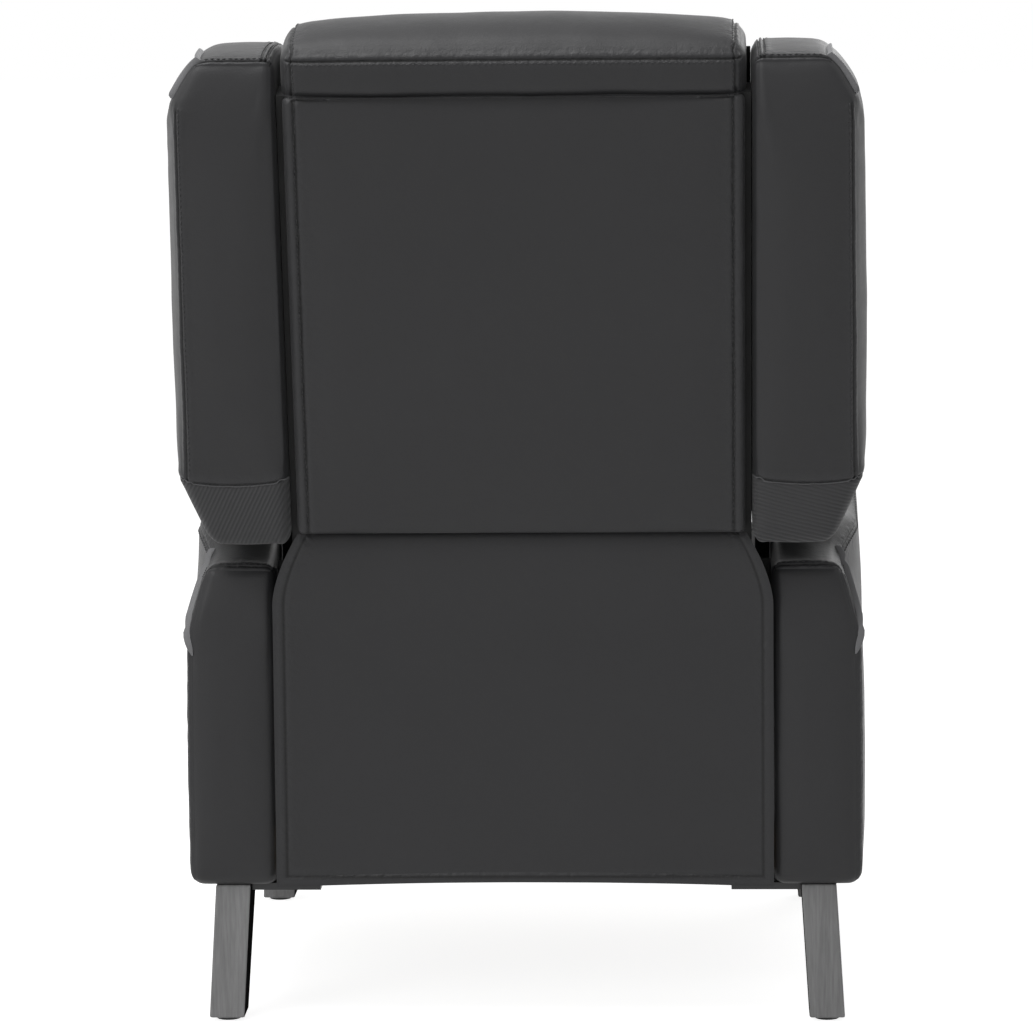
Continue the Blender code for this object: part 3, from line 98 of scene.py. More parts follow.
# Back pieces, in the back's own places: y to the rear and z up the back, from its pivot
BACK_REAR = 0.124
FRAME_FRONT = 0.0747
PANEL_HALF_WIDTH = 0.2365
PANEL_FRONT = 0.1103
PANEL_BOTTOM = 0.258
PANEL_TOP = 0.7365
PANEL_ROUNDING = 0.0062
PANEL_CROWN = 0.004
PANEL_STITCH_INSET = 0.012
PANEL_ROW_END = 0.008
CUSHION_HALF_WIDTH = 0.2385
HEAD_BOTTOM = 0.5635
HEAD_TOP = 0.802
HEAD_FRONT = -0.046
HEAD_ROUNDING = 0.024
HEAD_CROWN = 0.016
HEAD_REAR_DROP = 0.014
HEAD_FRONT_DROP = 0.036
HEAD_SEAM_DROP = 0.017
HEAD_END_SEAM = 0.009
HEAD_TUCK = 0.005
HEAD_TUCK_HEIGHT = 0.014
HEAD_ROW_END = 0.010
HEAD_ROW_LOW_END = 0.030
BACK_CUSHION_FRONT = -0.024
BACK_CUSHION_BOTTOM = 0.064
BACK_CUSHION_TOP = 0.560
BACK_CUSHION_CROWN = 0.013
CUSHION_ROUNDING = 0.028
BOLSTER_PLACE = 0.150
LUMBAR_SEAM = 0.235
SHOULDER_SEAM = 0.405
WING_INNER = 0.2436
WING_BOTTOM = 0.2436
WING_TOP = 0.775
WING_FRONT = -0.100
WING_REAR = 0.126
WING_ROUNDING = 0.017
WING_CROWN = 0.003
WING_SHOULDER = 0.729
WING_SHOULDER_IN = 0.030
WING_HEM = 0.321
WING_HEM_IN = 0.031
WING_TAPER = 0.006
WING_FRONT_DROP = 0.046
WING_DROP_START = 0.560
WING_FRONT_BULGE = 0.022
WING_SIDE_SEAM = 0.008
WING_TOP_SEAM = 0.005
WING_BROW = 0.014
WING_BAND = 0.011
WING_BAND_WIDTH = 0.0075
WING_ROW_END = 0.012
WING_HEM_GAP = 0.005
TWILL_SAG = 0.0055
TWILL_SAG_REACH = 5
HEM_CORNER = 0.001

# Seat and footrest, in chair places
SEAT_FRONT = -0.690
SEAT_REAR = -0.184
SEAT_HALF_WIDTH = 0.2605
SEAT_DECK = 0.3841
SEAT_LIP_DROP = 0.0130
SEAT_LIP_DEPTH = 0.06
SEAT_LIP_HEIGHT = 0.03
SEAT_FRONT_GAP = 0.004
SEAT_HEIGHT = 0.078
SEAT_CROWN = 0.013
SEAT_ROLL_LINE = -0.585
SEAT_CHANNEL_PLACE = 0.165
FOOTREST_HALF_WIDTH = 0.258
FOOTREST_LOW = 0.162
FOOTREST_HIGH = 0.357
FOOTREST_REAR = -0.6437
FOOTREST_SEAM = 0.272
FOOTREST_ROUNDING = 0.018
FOOTREST_CROWN = 0.006
FOOTREST_CHANNEL = 0.6
SLIGHT_CROWN = 0.002

# Sewing: seams, the lips and puckers beside them, channels, and rows of stitches
SEAM_WIDTH = 0.0030
SEAM_DEPTH = 0.0021
SEAM_LIP = 0.0006
SEAM_CUTS = (-1, -0.4, 0.4, 1)
EDGE_TURNS = (0, 15, 30)
# DARK_LINE_SHARE sets the width of the painted shade along a seam's line
DARK_LINE_SHARE = 0.7
LIP_PLACE = 0.0050
LIP_WIDTH = 0.004
PUCKER_HEIGHT = 0.0006
PUCKER_REACH = 0.010
PUCKER_RATE = 95
PUCKER_STRETCH = 4
PUCKER_SLICE = 0.5
CHANNEL_WIDTH = 0.010
CHANNEL_DEPTH = 0.006
CHANNEL_HELD = 0.8
FOOTREST_CHANNEL_HELD = 0.5
STITCH_PITCH = 0.0060
STITCH_LENGTH = 0.0039
STITCH_RADIUS = 0.00070
STITCH_SIDES = 6
STITCH_TAPER = 0.6
STITCH_END_DROP = 0.9
STITCH_LIFT = 0.75
STITCH_OFFSET = 0.0042
ROW_GAP = 0.004
ROW_END = 0.006
MESH_STEP = 0.0095
RIPPLE_RATE = 9
FINE_RIPPLE_SHARE = 0.5
FINE_RIPPLE_RATE = 2.7

# Cloth under pressure
CLOTH_FRAMES = 20
CLOTH = {
    "quality": 4,
    "mass": 0.4,
    "tension_stiffness": 15,
    "compression_stiffness": 15,
    "shear_stiffness": 12,
    "bending_stiffness": 1.2,
    "use_pressure": True,
}

# Flat piping: the profile gives shares across the strip and out of the surface
PIPING_WIDTH = 0.0063
PIPING_THICKNESS = 0.0026
PIPING_STEPS = 28
PIPING_END_RATE = 16
PIPING_TIP = 0.05
PIPING_START = 0.3
PIPING_SMOOTHING = math.radians(50)
PIPING_PROFILE = ((-1, -0.15), (-1, 0.85), (-0.5, 1), (0.5, 1), (1, 0.85), (1, -0.15))
ARM_PIPING_LOW_DROP = 0.095
ARM_PIPING_TOP_DROP = 0.0045
ARM_PIPING_SETBACK = 0.004
ARM_PIPING_RUN = 0.066
WING_PIPING_LENGTH = 0.040
WING_PIPING_RUN = 0.060
WING_PIPING_BEND = 0.5
WING_PIPING_TILT = math.radians(55)
WING_PIPING_TILT_START = 0.3
WING_PIPING_TILT_SPAN = 0.35
WING_PIPING_TOP_DROP = 0.001
WING_PIPING_SETBACK = 0.012
HEM_CORD_RADIUS = 0.0008
HEM_CORD_LIFT = 0.4

# Near-black sheets behind the gaps, as painted shade: each side strip has its place along the chair and its top
SHADE_SHEET_THICKNESS = 0.0012
SHADE_SHEET_EDGE = 0.0004
FRAME_SHADE_REAR = 0.0011
FRAME_SHADE_FRONT = 0.0002
FRAME_SHADE_LAP = 0.003
FRAME_SHADE_DROP = 0.2
SIDE_SHADE_INNER = 0.2484
SIDE_SHADE_BOTTOM = 0.360
SIDE_SHADE_ENDS = ((-0.178, 0.531), (-0.100, 0.518), (-0.040, 0.498))
HEAD_SHADE_PLACE = 0.010
HEAD_SHADE_GAP = 0.0005
HEAD_SHADE_TOP = 0.757

# Flap behind the seat: each wave has its rate across, its slice, its rate up and its height
FLAP_TOP_HALF_WIDTH = 0.237
FLAP_HALF_WIDTH = 0.266
FLAP_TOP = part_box("rear_flap")[1].z
FLAP_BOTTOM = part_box("rear_flap")[0].z - 0.004
FLAP_BOTTOM_RISE = 0.005
FLAP_SHOULDER_DROP = 0.078
FLAP_SHOULDER_CURVE = 1.65
FLAP_TUCK = 0.010
FLAP_TUCK_HEIGHT = 0.1105
FLAP_ROLL = 0.005
FLAP_ROLL_HEIGHT = 0.020
FLAP_HEM = 0.0095
FLAP_HEM_RISE = 0.0011
FLAP_HEM_EDGE = 0.0015
FLAP_STITCH_INSET = FLAP_HEM * 1.15
FLAP_EDGE_INSET = FLAP_HEM * 0.35
FLAP_SEWN_DEPTH = 0.0007
FLAP_SEWN_WIDTH = 0.003
FLAP_THICKNESS = 0.0024
FLAP_WALL_OFFSET = 0.2
FLAP_SETBACK = 0.0018
FLAP_HOLLOW = 0.0006
FLAP_WAVES = ((6, 0.3, 6, 0.0013), (17, 4.1, 15, 0.0006))
FLAP_COLUMNS = 84
FLAP_ROWS = 72
FLAP_HEM_LINES = 0.12
FLAP_HEM_SPREAD = 1.5
FLAP_SMOOTHING = math.radians(60)
FLAP_RUN_STEPS = 59
FLAP_RUN_REACH = 0.95
FLAP_RUN_TOP_DROP = 0.004

# Camera, behind the chair
CAMERA_LENS = 165.9
CAMERA_DISTANCE = 5.0
CAMERA_HEIGHT = 1.180
CAMERA_ASIDE = -0.1968
CAMERA_PITCH = math.radians(7.19)
CAMERA_TURN = math.radians(2.317)
CAMERA_ROLL = math.radians(0.533)

# Lights: name, place, aim, size and power
LIGHTS = (
    ("top_light", (0.9, 0.9, 3.1), (0, 0.1, 0.6), (2.2, 1.8), 72),
    ("rear_light", (2.5, 2.9, 2.0), (0, 0.2, 0.5), (1.4, 1.6), 24),
    ("front_light", (-1.6, -3.0, 2.4), (0, 0, 0.5), (1.8, 1.6), 24),
)
FLOOR_SIZE = 60

# Finishes: tones are shares of a colour, and wood mixes fibres with rings
LEATHER_TONES = (0.90, 1.12)
# Seam marks: the lips take a painted highlight and the seam's line a painted shade
LIP_HIGHLIGHT_TONE = 1.20
SEAM_SHADE_TONE = 0.05
TWILL_TONES = (0.84, 1.22)
PAINT_TONES = (0.85, 1.25)
FIBRE_SHARE = 0.55
RING_SHARE = 0.45
WOOD_TONE_ENDS = (0.34, 0.66)
GRAIN_STRETCH = 0.06
INWARD_LIMIT = -0.2
PLAIN_SPECULAR = 0.5


def smooth(value):
    value = min(max(value, 0), 1)
    return value * value * (3 - 2 * value)


def between(low, high, share):
    return low + (high - low) * share


def dent(distance, width):
    """1 on a seam's line, falling to 0 at a distance of its width."""
    return 1 - smooth(abs(distance) / width)


# Making and finishing pieces


def deselect():
    bpy.ops.object.select_all(action="DESELECT")


def pick(obj):
    deselect()
    obj.select_set(True)
    bpy.context.view_layer.objects.active = obj


def new_piece(name, data):
    obj = bpy.data.objects.new(name, data)
    bpy.context.scene.collection.objects.link(obj)
    return obj


def mesh_piece(name, bm):
    mesh = bpy.data.meshes.new(name)
    bm.to_mesh(mesh)
    obj = new_piece(name, mesh)
    pick(obj)
    return obj


def apply_modifier(obj, kind, **settings):
    pick(obj)
    modifier = obj.modifiers.new(kind.title(), kind)
    for setting, value in settings.items():
        setattr(modifier, setting, value)
    bpy.ops.object.modifier_apply(modifier=modifier.name)


def write_marks(mesh, name, numbers):
    """Keeps three numbers for each point in the mesh."""
    layer = mesh.attributes.new(name, "FLOAT_VECTOR", "POINT")
    layer.data.foreach_set("vector", numbers)


def unchanged(place):
    return place


def no_lines(place):
    """The sewn lines of a cover that has none."""
    return []


def block(name, low, high):
    """A plain block between two corners, from a cube primitive."""
    deselect()
    low, high = Vector(low), Vector(high)
    bpy.ops.mesh.primitive_cube_add(size=1, location=(low + high) / 2)
    obj = bpy.context.object
    obj.scale = high - low
    bpy.ops.object.transform_apply(location=True, rotation=True, scale=True)
    obj.name = obj.data.name = name
    return obj


def cut_lines(low, high, rounding, seams):
    """Places to cut a block along one axis: close over its rounded edges and at its seams."""
    kept = [place + offset * SEAM_WIDTH for place in seams for offset in SEAM_CUTS]
    rounded = [rounding * (1 - math.tan(math.radians(turn))) for turn in EDGE_TURNS]
    inner_low, inner_high = low + rounding, high - rounding
    count = max(round((inner_high - inner_low) / MESH_STEP), 1)
    plain = [low + reach for reach in rounded] + [high - reach for reach in rounded]
    plain += [between(inner_low, inner_high, number / count) for number in range(1, count)]
    for place in plain:
        if all(abs(place - line) > SEAM_WIDTH / 2 for line in kept):
            kept.append(place)
    return sorted(line for line in kept if low + NEAR < line < high - NEAR)


def slice_block(obj, cuts):
    """Cuts the block's shell by planes across each axis."""
    pick(obj)
    bpy.ops.object.mode_set(mode="EDIT")
    for axis, places in enumerate(cuts):
        normal = [1 if number == axis else 0 for number in range(3)]
        for place in places:
            bpy.ops.mesh.select_all(action="SELECT")
            point = [place if number == axis else 0 for number in range(3)]
            bpy.ops.mesh.bisect(plane_co=point, plane_no=normal, threshold=0.000001)
    bpy.ops.object.mode_set(mode="OBJECT")


def rounded_place(place, low, high, rounding):
    """Carries a point on a block's face to the block with rounded edges."""
    core = Vector([min(max(place[a], low[a] + rounding), high[a] - rounding) for a in range(3)])
    away = place - core
    if away.length < NEAR:
        return place.copy()
    return core + away.normalized() * rounding


def swell(place, low, high, crowns):
    """Crowns each face of a block: crowns hold a height for each axis's low and high face."""
    offsets = []
    for axis in range(3):
        half = (high[axis] - low[axis]) / 2
        offsets.append((place[axis] - low[axis]) / half - 1)
    moved = place.copy()
    for axis in range(3):
        others = [max(1 - offsets[number] ** 2, 0) for number in range(3) if number != axis]
        crown = crowns[axis][1] if offsets[axis] > 0 else crowns[axis][0]
        moved[axis] += crown * offsets[axis] * math.sqrt(math.prod(others))
    return moved


class Cover:
    """A padded leather cover, shaped from a block. flat keeps each point's place on the block."""

    def __init__(self, name, low, high, rounding, seams, crowns, shape, carrier):
        self.low, self.high, self.rounding = Vector(low), Vector(high), rounding
        self.crowns, self.shape, self.carrier = crowns, shape, carrier
        self.obj = block(name, low, high)
        cuts = [cut_lines(low[a], high[a], rounding, seams[a]) for a in range(3)]
        slice_block(self.obj, cuts)
        self.flat = [vert.co.copy() for vert in self.obj.data.vertices]
        for vert in self.obj.data.vertices:
            vert.co = self.formed(vert.co)
        pick(self.obj)
        bpy.ops.object.shade_smooth()

    def formed(self, place):
        place = rounded_place(place, self.low, self.high, self.rounding)
        return self.shape(swell(place, self.low, self.high, self.crowns))

    def placed(self, place):
        return self.carrier(self.formed(Vector(place)))

    def row(self, start, end, count):
        """Points of a straight line on the plain block, carried to the finished cover."""
        start, end = Vector(start), Vector(end)
        return [self.placed(start.lerp(end, number / count)) for number in range(count + 1)]

    def finish(self, lines_at, held, pressure, cap, ripple, channels_at=None):
        """Blows the cover up, smooths it, draws its seams in and carries it to its place."""
        self.puff(lines_at, held, pressure, cap)
        mesh = self.obj.data
        write_marks(mesh, "flat", [part for place in self.flat for part in place])
        apply_modifier(self.obj, "SUBSURF", levels=1, render_levels=1)
        places = [Vector(item.vector) for item in mesh.attributes["flat"].data]
        normals = [vert.normal.copy() for vert in mesh.vertices]
        marks = []
        for vert, normal, place in zip(mesh.vertices, normals, places):
            lines = lines_at(place)
            inward = sewn_in(lines)
            if channels_at:
                depth = channels_at(place)
                inward += CHANNEL_DEPTH * depth
                lines = lines + [((1 - depth) * CHANNEL_WIDTH / 2, 0)]
            if not held(place):
                fine = noise.noise(place * RIPPLE_RATE * FINE_RIPPLE_RATE)
                inward -= ripple * noise.noise(place * RIPPLE_RATE)
                inward -= ripple * FINE_RIPPLE_SHARE * fine
            vert.co = self.carrier(vert.co - normal * inward)
            # Painted seam shade and lip highlight, read by the leather
            marks += seam_shade_marks(lines)
        mesh.attributes.remove(mesh.attributes["flat"])
        write_marks(mesh, "seam_shading", marks)
        return self.obj

    def puff(self, lines_at, held, pressure, cap):
        """Cloth under pressure between its held seams, each point's move capped."""
        obj = self.obj
        scene = bpy.context.scene
        before = [vert.co.copy() for vert in obj.data.vertices]
        pinned = [
            number
            for number, place in enumerate(self.flat)
            if held(place) or any(abs(line[0]) < SEAM_WIDTH for line in lines_at(place))
        ]
        group = obj.vertex_groups.new(name="held")
        group.add(pinned, 1, "REPLACE")
        cloth = obj.modifiers.new("Cloth", "CLOTH")
        for setting, value in CLOTH.items():
            setattr(cloth.settings, setting, value)
        cloth.settings.uniform_pressure_force = pressure
        cloth.settings.vertex_group_mass = "held"
        cloth.settings.effector_weights.gravity = 0
        cloth.point_cache.frame_start = 1
        cloth.point_cache.frame_end = CLOTH_FRAMES
        for number in range(1, CLOTH_FRAMES + 1):
            scene.frame_set(number)
        evaluated = obj.evaluated_get(bpy.context.evaluated_depsgraph_get())
        blown = [vert.co.copy() for vert in evaluated.data.vertices]
        obj.modifiers.remove(cloth)
        obj.vertex_groups.remove(group)
        scene.frame_set(1)
        for vert, start, end in zip(obj.data.vertices, before, blown):
            move = end - start
            if move.length > cap:
                move = move.normalized() * cap
            vert.co = start + move


def sewn_in(lines):
    """How far a cover is drawn in by the seams near a place, given as distance and place along."""
    inward = 0
    for distance, along in lines:
        fade = math.exp(-abs(distance) / PUCKER_REACH)
        across = distance * PUCKER_RATE / PUCKER_STRETCH
        place = Vector((along * PUCKER_RATE, across, PUCKER_SLICE))
        inward += SEAM_DEPTH * dent(distance, SEAM_WIDTH)
        inward -= SEAM_LIP * dent(abs(distance) - LIP_PLACE, LIP_WIDTH)
        inward -= PUCKER_HEIGHT * noise.noise(place) * fade
    return inward


def seam_shade_marks(lines):
    """Marks near the seams: painted shade on the seam's line, a painted highlight on the lips beside it, and the
    puckers.
    """
    line = lip = pucker = 0
    for distance, _ in lines:
        line = max(line, dent(distance, SEAM_WIDTH * DARK_LINE_SHARE))
        lip = max(lip, dent(abs(distance) - LIP_PLACE, LIP_WIDTH))
        pucker = max(pucker, math.exp(-abs(distance) / PUCKER_REACH))
    return [line, lip, pucker]


def on_chair(place):
    return place + Vector((0, REAR, 0))


def on_back(place):
    return PIVOT + BACK_TURN @ place


def mirror_copy(obj, name):
    """The same piece on the chair's other side, with a mesh of its own."""
    copy = obj.copy()
    copy.data = obj.data.copy()
    copy.name = copy.data.name = name
    bpy.context.scene.collection.objects.link(copy)
    copy.data.transform(Matrix.Scale(-1, 4, Vector((1, 0, 0))))
    copy.data.flip_normals()
    return copy


def mirror_run(run, side):
    return [Vector((place.x * side, place.y, place.z)) for place in run]


def dress(obj, material, body, nodes=()):
    """Gives a piece its material, its body and the solids that it stands for."""
    if not obj.data.materials:
        obj.data.materials.append(material)
    if body:
        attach(obj, body)
    if nodes:
        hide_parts(*nodes)
    return obj


# Materials


def new_material(name):
    material = bpy.data.materials.new(name)
    material.use_nodes = True
    tree = material.node_tree
    return material, tree, tree.nodes["Principled BSDF"]


def add_node(tree, kind, **inputs):
    """A node with some inputs set, each named with _ for a space."""
    node = tree.nodes.new(kind)
    for name, value in inputs.items():
        node.inputs[name.replace("_", " ")].default_value = value
    return node


def tinted(colour, share):
    return tuple(part * share for part in colour)


def lay_on_object(tree, *nodes):
    """Ties patterns to the piece that they are on, and gives the piece's own places."""
    place = tree.nodes.new("ShaderNodeTexCoord").outputs["Object"]
    for node in nodes:
        tree.links.new(place, node.inputs["Vector"])
    return place


def set_input(tree, target, value):
    """Sets an input to plain numbers, or joins it to another node's output."""
    if isinstance(value, bpy.types.NodeSocket):
        tree.links.new(value, target)
    else:
        target.default_value = value


def calculate(tree, operation, *values):
    node = tree.nodes.new("ShaderNodeMath")
    node.operation = operation
    for target, value in zip(node.inputs, values):
        set_input(tree, target, value)
    return node.outputs["Value"]


def mix_colours(tree, low, high, share):
    """Runs from one colour to the other. Each is an output, or red, green and blue."""
    node = tree.nodes.new("ShaderNodeMix")
    node.data_type = "RGBA"
    for target, colour in ((node.inputs[6], low), (node.inputs[7], high)):
        set_input(tree, target, (*colour, 1) if isinstance(colour, tuple) else colour)
    tree.links.new(share, node.inputs[0])
    return node.outputs[2]


def colour_tones(tree, colour, tones, share):
    return mix_colours(tree, tinted(colour, tones[0]), tinted(colour, tones[1]), share)


def vary_roughness(tree, shader, share, low, high):
    node = add_node(tree, "ShaderNodeMapRange", To_Min=low, To_Max=high)
    tree.links.new(share, node.inputs["Value"])
    tree.links.new(node.outputs["Result"], shader.inputs["Roughness"])


def stack_bumps(tree, shader, *layers):
    """Bumps one over another, each from a height, its strength and its distance."""
    normal = None
    for height, strength, distance in layers:
        bump = add_node(tree, "ShaderNodeBump", Strength=strength, Distance=distance)
        tree.links.new(height, bump.inputs["Height"])
        if normal:
            tree.links.new(normal, bump.inputs["Normal"])
        normal = bump.outputs["Normal"]
    tree.links.new(normal, shader.inputs["Normal"])


def leather(name, colour, grain=1.0):
    """Coated leather: a pebbled grain and faint creases, puckered beside its seams, with painted
    shade in the seams and a painted highlight on the lips beside them."""
    material, tree, shader = new_material(name)
    seam_shading = tree.nodes.new("ShaderNodeAttribute")
    seam_shading.attribute_name = "seam_shading"
    marks = tree.nodes.new("ShaderNodeSeparateXYZ")
    tree.links.new(seam_shading.outputs["Vector"], marks.inputs["Vector"])
    pebbles = add_node(tree, "ShaderNodeTexVoronoi", Scale=620 * grain, Randomness=0.85)
    pebbles.feature = "SMOOTH_F1"
    creases = add_node(tree, "ShaderNodeTexNoise", Scale=70, Detail=6, Roughness=0.62)
    clouds = add_node(tree, "ShaderNodeTexNoise", Scale=5.5, Detail=3, Roughness=0.5)
    folds = add_node(tree, "ShaderNodeTexNoise", Scale=150, Detail=3, Roughness=0.55)
    lay_on_object(tree, pebbles, creases, clouds, folds)
    tone = colour_tones(tree, colour, LEATHER_TONES, clouds.outputs["Fac"])
    # Painted highlight on the seams' lips, then painted shade on their lines
    tone = mix_colours(tree, tone, tinted(colour, LIP_HIGHLIGHT_TONE), marks.outputs["Y"])
    tone = mix_colours(tree, tone, tinted(colour, SEAM_SHADE_TONE), marks.outputs["X"])
    tree.links.new(tone, shader.inputs["Base Color"])
    vary_roughness(tree, shader, creases.outputs["Fac"], 0.40, 0.54)
    puckers = calculate(tree, "MULTIPLY", folds.outputs["Fac"], marks.outputs["Z"])
    stack_bumps(
        tree,
        shader,
        (puckers, 0.6, 0.0040),
        (creases.outputs["Fac"], 0.16, 0.0025),
        (pebbles.outputs["Distance"], 0.22, 0.0006),
    )
    shader.inputs["Specular IOR Level"].default_value = 0.26
    shader.inputs["Sheen Weight"].default_value = 0.06
    return material


def twill(name, colour, turn):
    """Ribbed cloth: narrow ribs across it at an angle, with a thread's unevenness."""
    material, tree, shader = new_material(name)
    turned = add_node(tree, "ShaderNodeMapping", Rotation=(0, turn, 0))
    ribs = add_node(tree, "ShaderNodeTexWave", Scale=78, Distortion=0.6, Detail=2, Detail_Scale=2)
    ribs.bands_direction = "X"
    threads = add_node(tree, "ShaderNodeTexNoise", Scale=900, Detail=2)
    lay_on_object(tree, turned, threads)
    tree.links.new(turned.outputs["Vector"], ribs.inputs["Vector"])
    tone = colour_tones(tree, colour, TWILL_TONES, ribs.outputs["Fac"])
    tree.links.new(tone, shader.inputs["Base Color"])
    layers = (ribs.outputs["Fac"], 0.5, 0.0012), (threads.outputs["Fac"], 0.3, 0.0004)
    stack_bumps(tree, shader, *layers)
    shader.inputs["Roughness"].default_value = 0.82
    shader.inputs["Sheen Weight"].default_value = 0.15
    return material


def shade_inner_faces(tree, shader, place, colour, shade_colour):
    """Painted shade: a plain dark colour with no reflection on the faces that look across to the chair's middle.
    """
    facing = tree.nodes.new("ShaderNodeNewGeometry")
    across = []
    for vector in (place, facing.outputs["Normal"]):
        split = tree.nodes.new("ShaderNodeSeparateXYZ")
        tree.links.new(vector, split.inputs[0])
        across.append(split.outputs["X"])
    product = calculate(tree, "MULTIPLY", *across)
    inward = calculate(tree, "LESS_THAN", product, INWARD_LIMIT)
    tree.links.new(mix_colours(tree, colour, shade_colour, inward), shader.inputs["Base Color"])
    dull = calculate(tree, "MULTIPLY_ADD", inward, -PLAIN_SPECULAR, PLAIN_SPECULAR)
    tree.links.new(dull, shader.inputs["Specular IOR Level"])


def wood(name, dark, light, along, grain_scale=1.0, roughness=0.5, inner=None):
    """Wood with its grain along one axis: 0 across, 1 along and 2 up the chair.

    Faces towards the chair's middle may take a painted shade, a colour of their own.
    """
    material, tree, shader = new_material(name)
    stretch = [GRAIN_STRETCH if axis == along else 1 for axis in range(3)]
    stretched = add_node(tree, "ShaderNodeMapping", Scale=stretch)
    place = lay_on_object(tree, stretched)
    fibres = add_node(tree, "ShaderNodeTexNoise", Scale=420 * grain_scale, Detail=5, Roughness=0.6)
    rings = add_node(tree, "ShaderNodeTexNoise", Scale=46 * grain_scale, Detail=2, Distortion=0.8)
    for node in (fibres, rings):
        tree.links.new(stretched.outputs["Vector"], node.inputs["Vector"])
    figure = calculate(tree, "MULTIPLY", rings.outputs["Fac"], RING_SHARE)
    figure = calculate(tree, "MULTIPLY_ADD", fibres.outputs["Fac"], FIBRE_SHARE, figure)
    ramp = tree.nodes.new("ShaderNodeValToRGB")
    for stop, end, colour in zip(ramp.color_ramp.elements, WOOD_TONE_ENDS, (dark, light)):
        stop.position = end
        stop.color = (*colour, 1)
    tree.links.new(figure, ramp.inputs["Fac"])
    tree.links.new(ramp.outputs["Color"], shader.inputs["Base Color"])
    # Painted shade on the inner faces
    if inner:
        shade_inner_faces(tree, shader, place, ramp.outputs["Color"], inner)
    stack_bumps(tree, shader, (figure, 0.25, 0.0005))
    shader.inputs["Roughness"].default_value = roughness
    return material


def painted(name, colour, roughness, metallic=0.0):
    """Paint or moulded plastic with a fine orange peel and worn, uneven gloss."""
    material, tree, shader = new_material(name)
    peel = add_node(tree, "ShaderNodeTexNoise", Scale=420, Detail=2)
    wear = add_node(tree, "ShaderNodeTexNoise", Scale=26, Detail=5, Roughness=0.6)
    lay_on_object(tree, peel, wear)
    vary_roughness(tree, shader, wear.outputs["Fac"], roughness - 0.08, roughness + 0.10)
    tone = colour_tones(tree, colour, PAINT_TONES, wear.outputs["Fac"])
    tree.links.new(tone, shader.inputs["Base Color"])
    stack_bumps(tree, shader, (peel.outputs["Fac"], 0.12, 0.0004))
    shader.inputs["Metallic"].default_value = metallic
    return material


BODY_LEATHER = leather("body_leather", (0.0215, 0.0215, 0.0228))
PIPING_LEATHER = leather("piping_leather", (0.150, 0.150, 0.155), 1.2)
HEM_LEATHER = leather("hem_leather", (0.085, 0.085, 0.088), 1.2)
THREAD = painted("sewing_thread", (0.012, 0.012, 0.013), 0.60)
# Near-black sheets put in the gaps as painted shade
SHADE_SHEET = painted("painted_shade_sheet", (0.006, 0.006, 0.006), 0.9)
# The right twill copy is a little darker than the left: painted shade, as the light falls from the left
TWILL_LEFT = twill("twill_left", (0.029, 0.029, 0.0305), math.radians(26))
SHADED_TWILL_RIGHT = twill("shaded_twill_right", (0.0275, 0.0275, 0.029), math.radians(-76))
# Painted shade: the legs' inner faces stand in the shadow under the chair, so they take near-black
INNER_SHADE = (0.010, 0.010, 0.010)
STAINED_WOOD = wood(
    "stained_wood", (0.120, 0.120, 0.121), (0.212, 0.212, 0.213), along=2, inner=INNER_SHADE
)
RAW_WOOD = wood("raw_wood", (0.36, 0.25, 0.14), (0.60, 0.46, 0.29), 0, 0.6, 0.7)
PLYWOOD = wood("plywood", (0.42, 0.31, 0.18), (0.62, 0.49, 0.32), 1, 0.5, 0.7)
STEEL = painted("painted_steel", (0.024, 0.024, 0.026), 0.40, 0.3)
TUBE_STEEL = painted("painted_tube", (0.018, 0.018, 0.019), 0.36, 0.3)
PLASTIC = painted("moulded_plastic", (0.015, 0.015, 0.016), 0.55)

FINISHES = {
    "leather": BODY_LEATHER,
    "piping": PIPING_LEATHER,
    "stained_wood": STAINED_WOOD,
    "wood": RAW_WOOD,
    "plywood": PLYWOOD,
    "steel": STEEL,
    "dark_steel": TUBE_STEEL,
    "plastic": PLASTIC,
}
for part in frame["record"]["subparts"]:
    node = frame["nodes"][part["node"]]
    node.data.materials.clear()
    node.data.materials.append(FINISHES[part["material_slot"]])
# The frame solid takes the same near-black, as painted shade in the gaps around it
frame["nodes"]["back_frame"].data.materials[0] = SHADE_SHEET


# Stitches and threads


def stitch_mesh():
    """One stitch: a short thread with its ends drawn down, its length along x."""
    deselect()
    bpy.ops.mesh.primitive_cylinder_add(
        vertices=STITCH_SIDES, radius=STITCH_RADIUS, depth=STITCH_LENGTH,
        rotation=(0, math.pi / 2, 0)
    )
    obj = bpy.context.object
    bpy.ops.object.transform_apply(location=True, rotation=True, scale=True)
    bpy.ops.object.mode_set(mode="EDIT")
    bpy.ops.mesh.select_all(action="SELECT")
    bpy.ops.mesh.bisect(plane_co=(0, 0, 0), plane_no=(1, 0, 0))
    bpy.ops.object.mode_set(mode="OBJECT")
    for vert in obj.data.vertices:
        if abs(vert.co.x) > STITCH_LENGTH / 4:
            vert.co.y *= STITCH_TAPER
            vert.co.z = vert.co.z * STITCH_TAPER - STITCH_RADIUS * STITCH_END_DROP
    mesh = obj.data
    bpy.data.objects.remove(obj)
    return mesh


def surface_of(obj):
    bm = bmesh.new()
    bm.from_mesh(obj.data)
    return BVHTree.FromBMesh(bm)


def spaced(points, pitch):
    """Evenly spaced places along a run of points, each with its direction."""
    lengths = [0]
    for near, far in zip(points, points[1:]):
        lengths.append(lengths[-1] + (far - near).length)
    count = max(int(lengths[-1] / pitch), 1)
    places = []
    step = 1
    for number in range(count):
        reach = (number + 0.5) * lengths[-1] / count
        while lengths[step] < reach:
            step += 1
        share = (reach - lengths[step - 1]) / (lengths[step] - lengths[step - 1])
        near, far = points[step - 1], points[step]
        places.append((near.lerp(far, share), (far - near).normalized()))
    return places


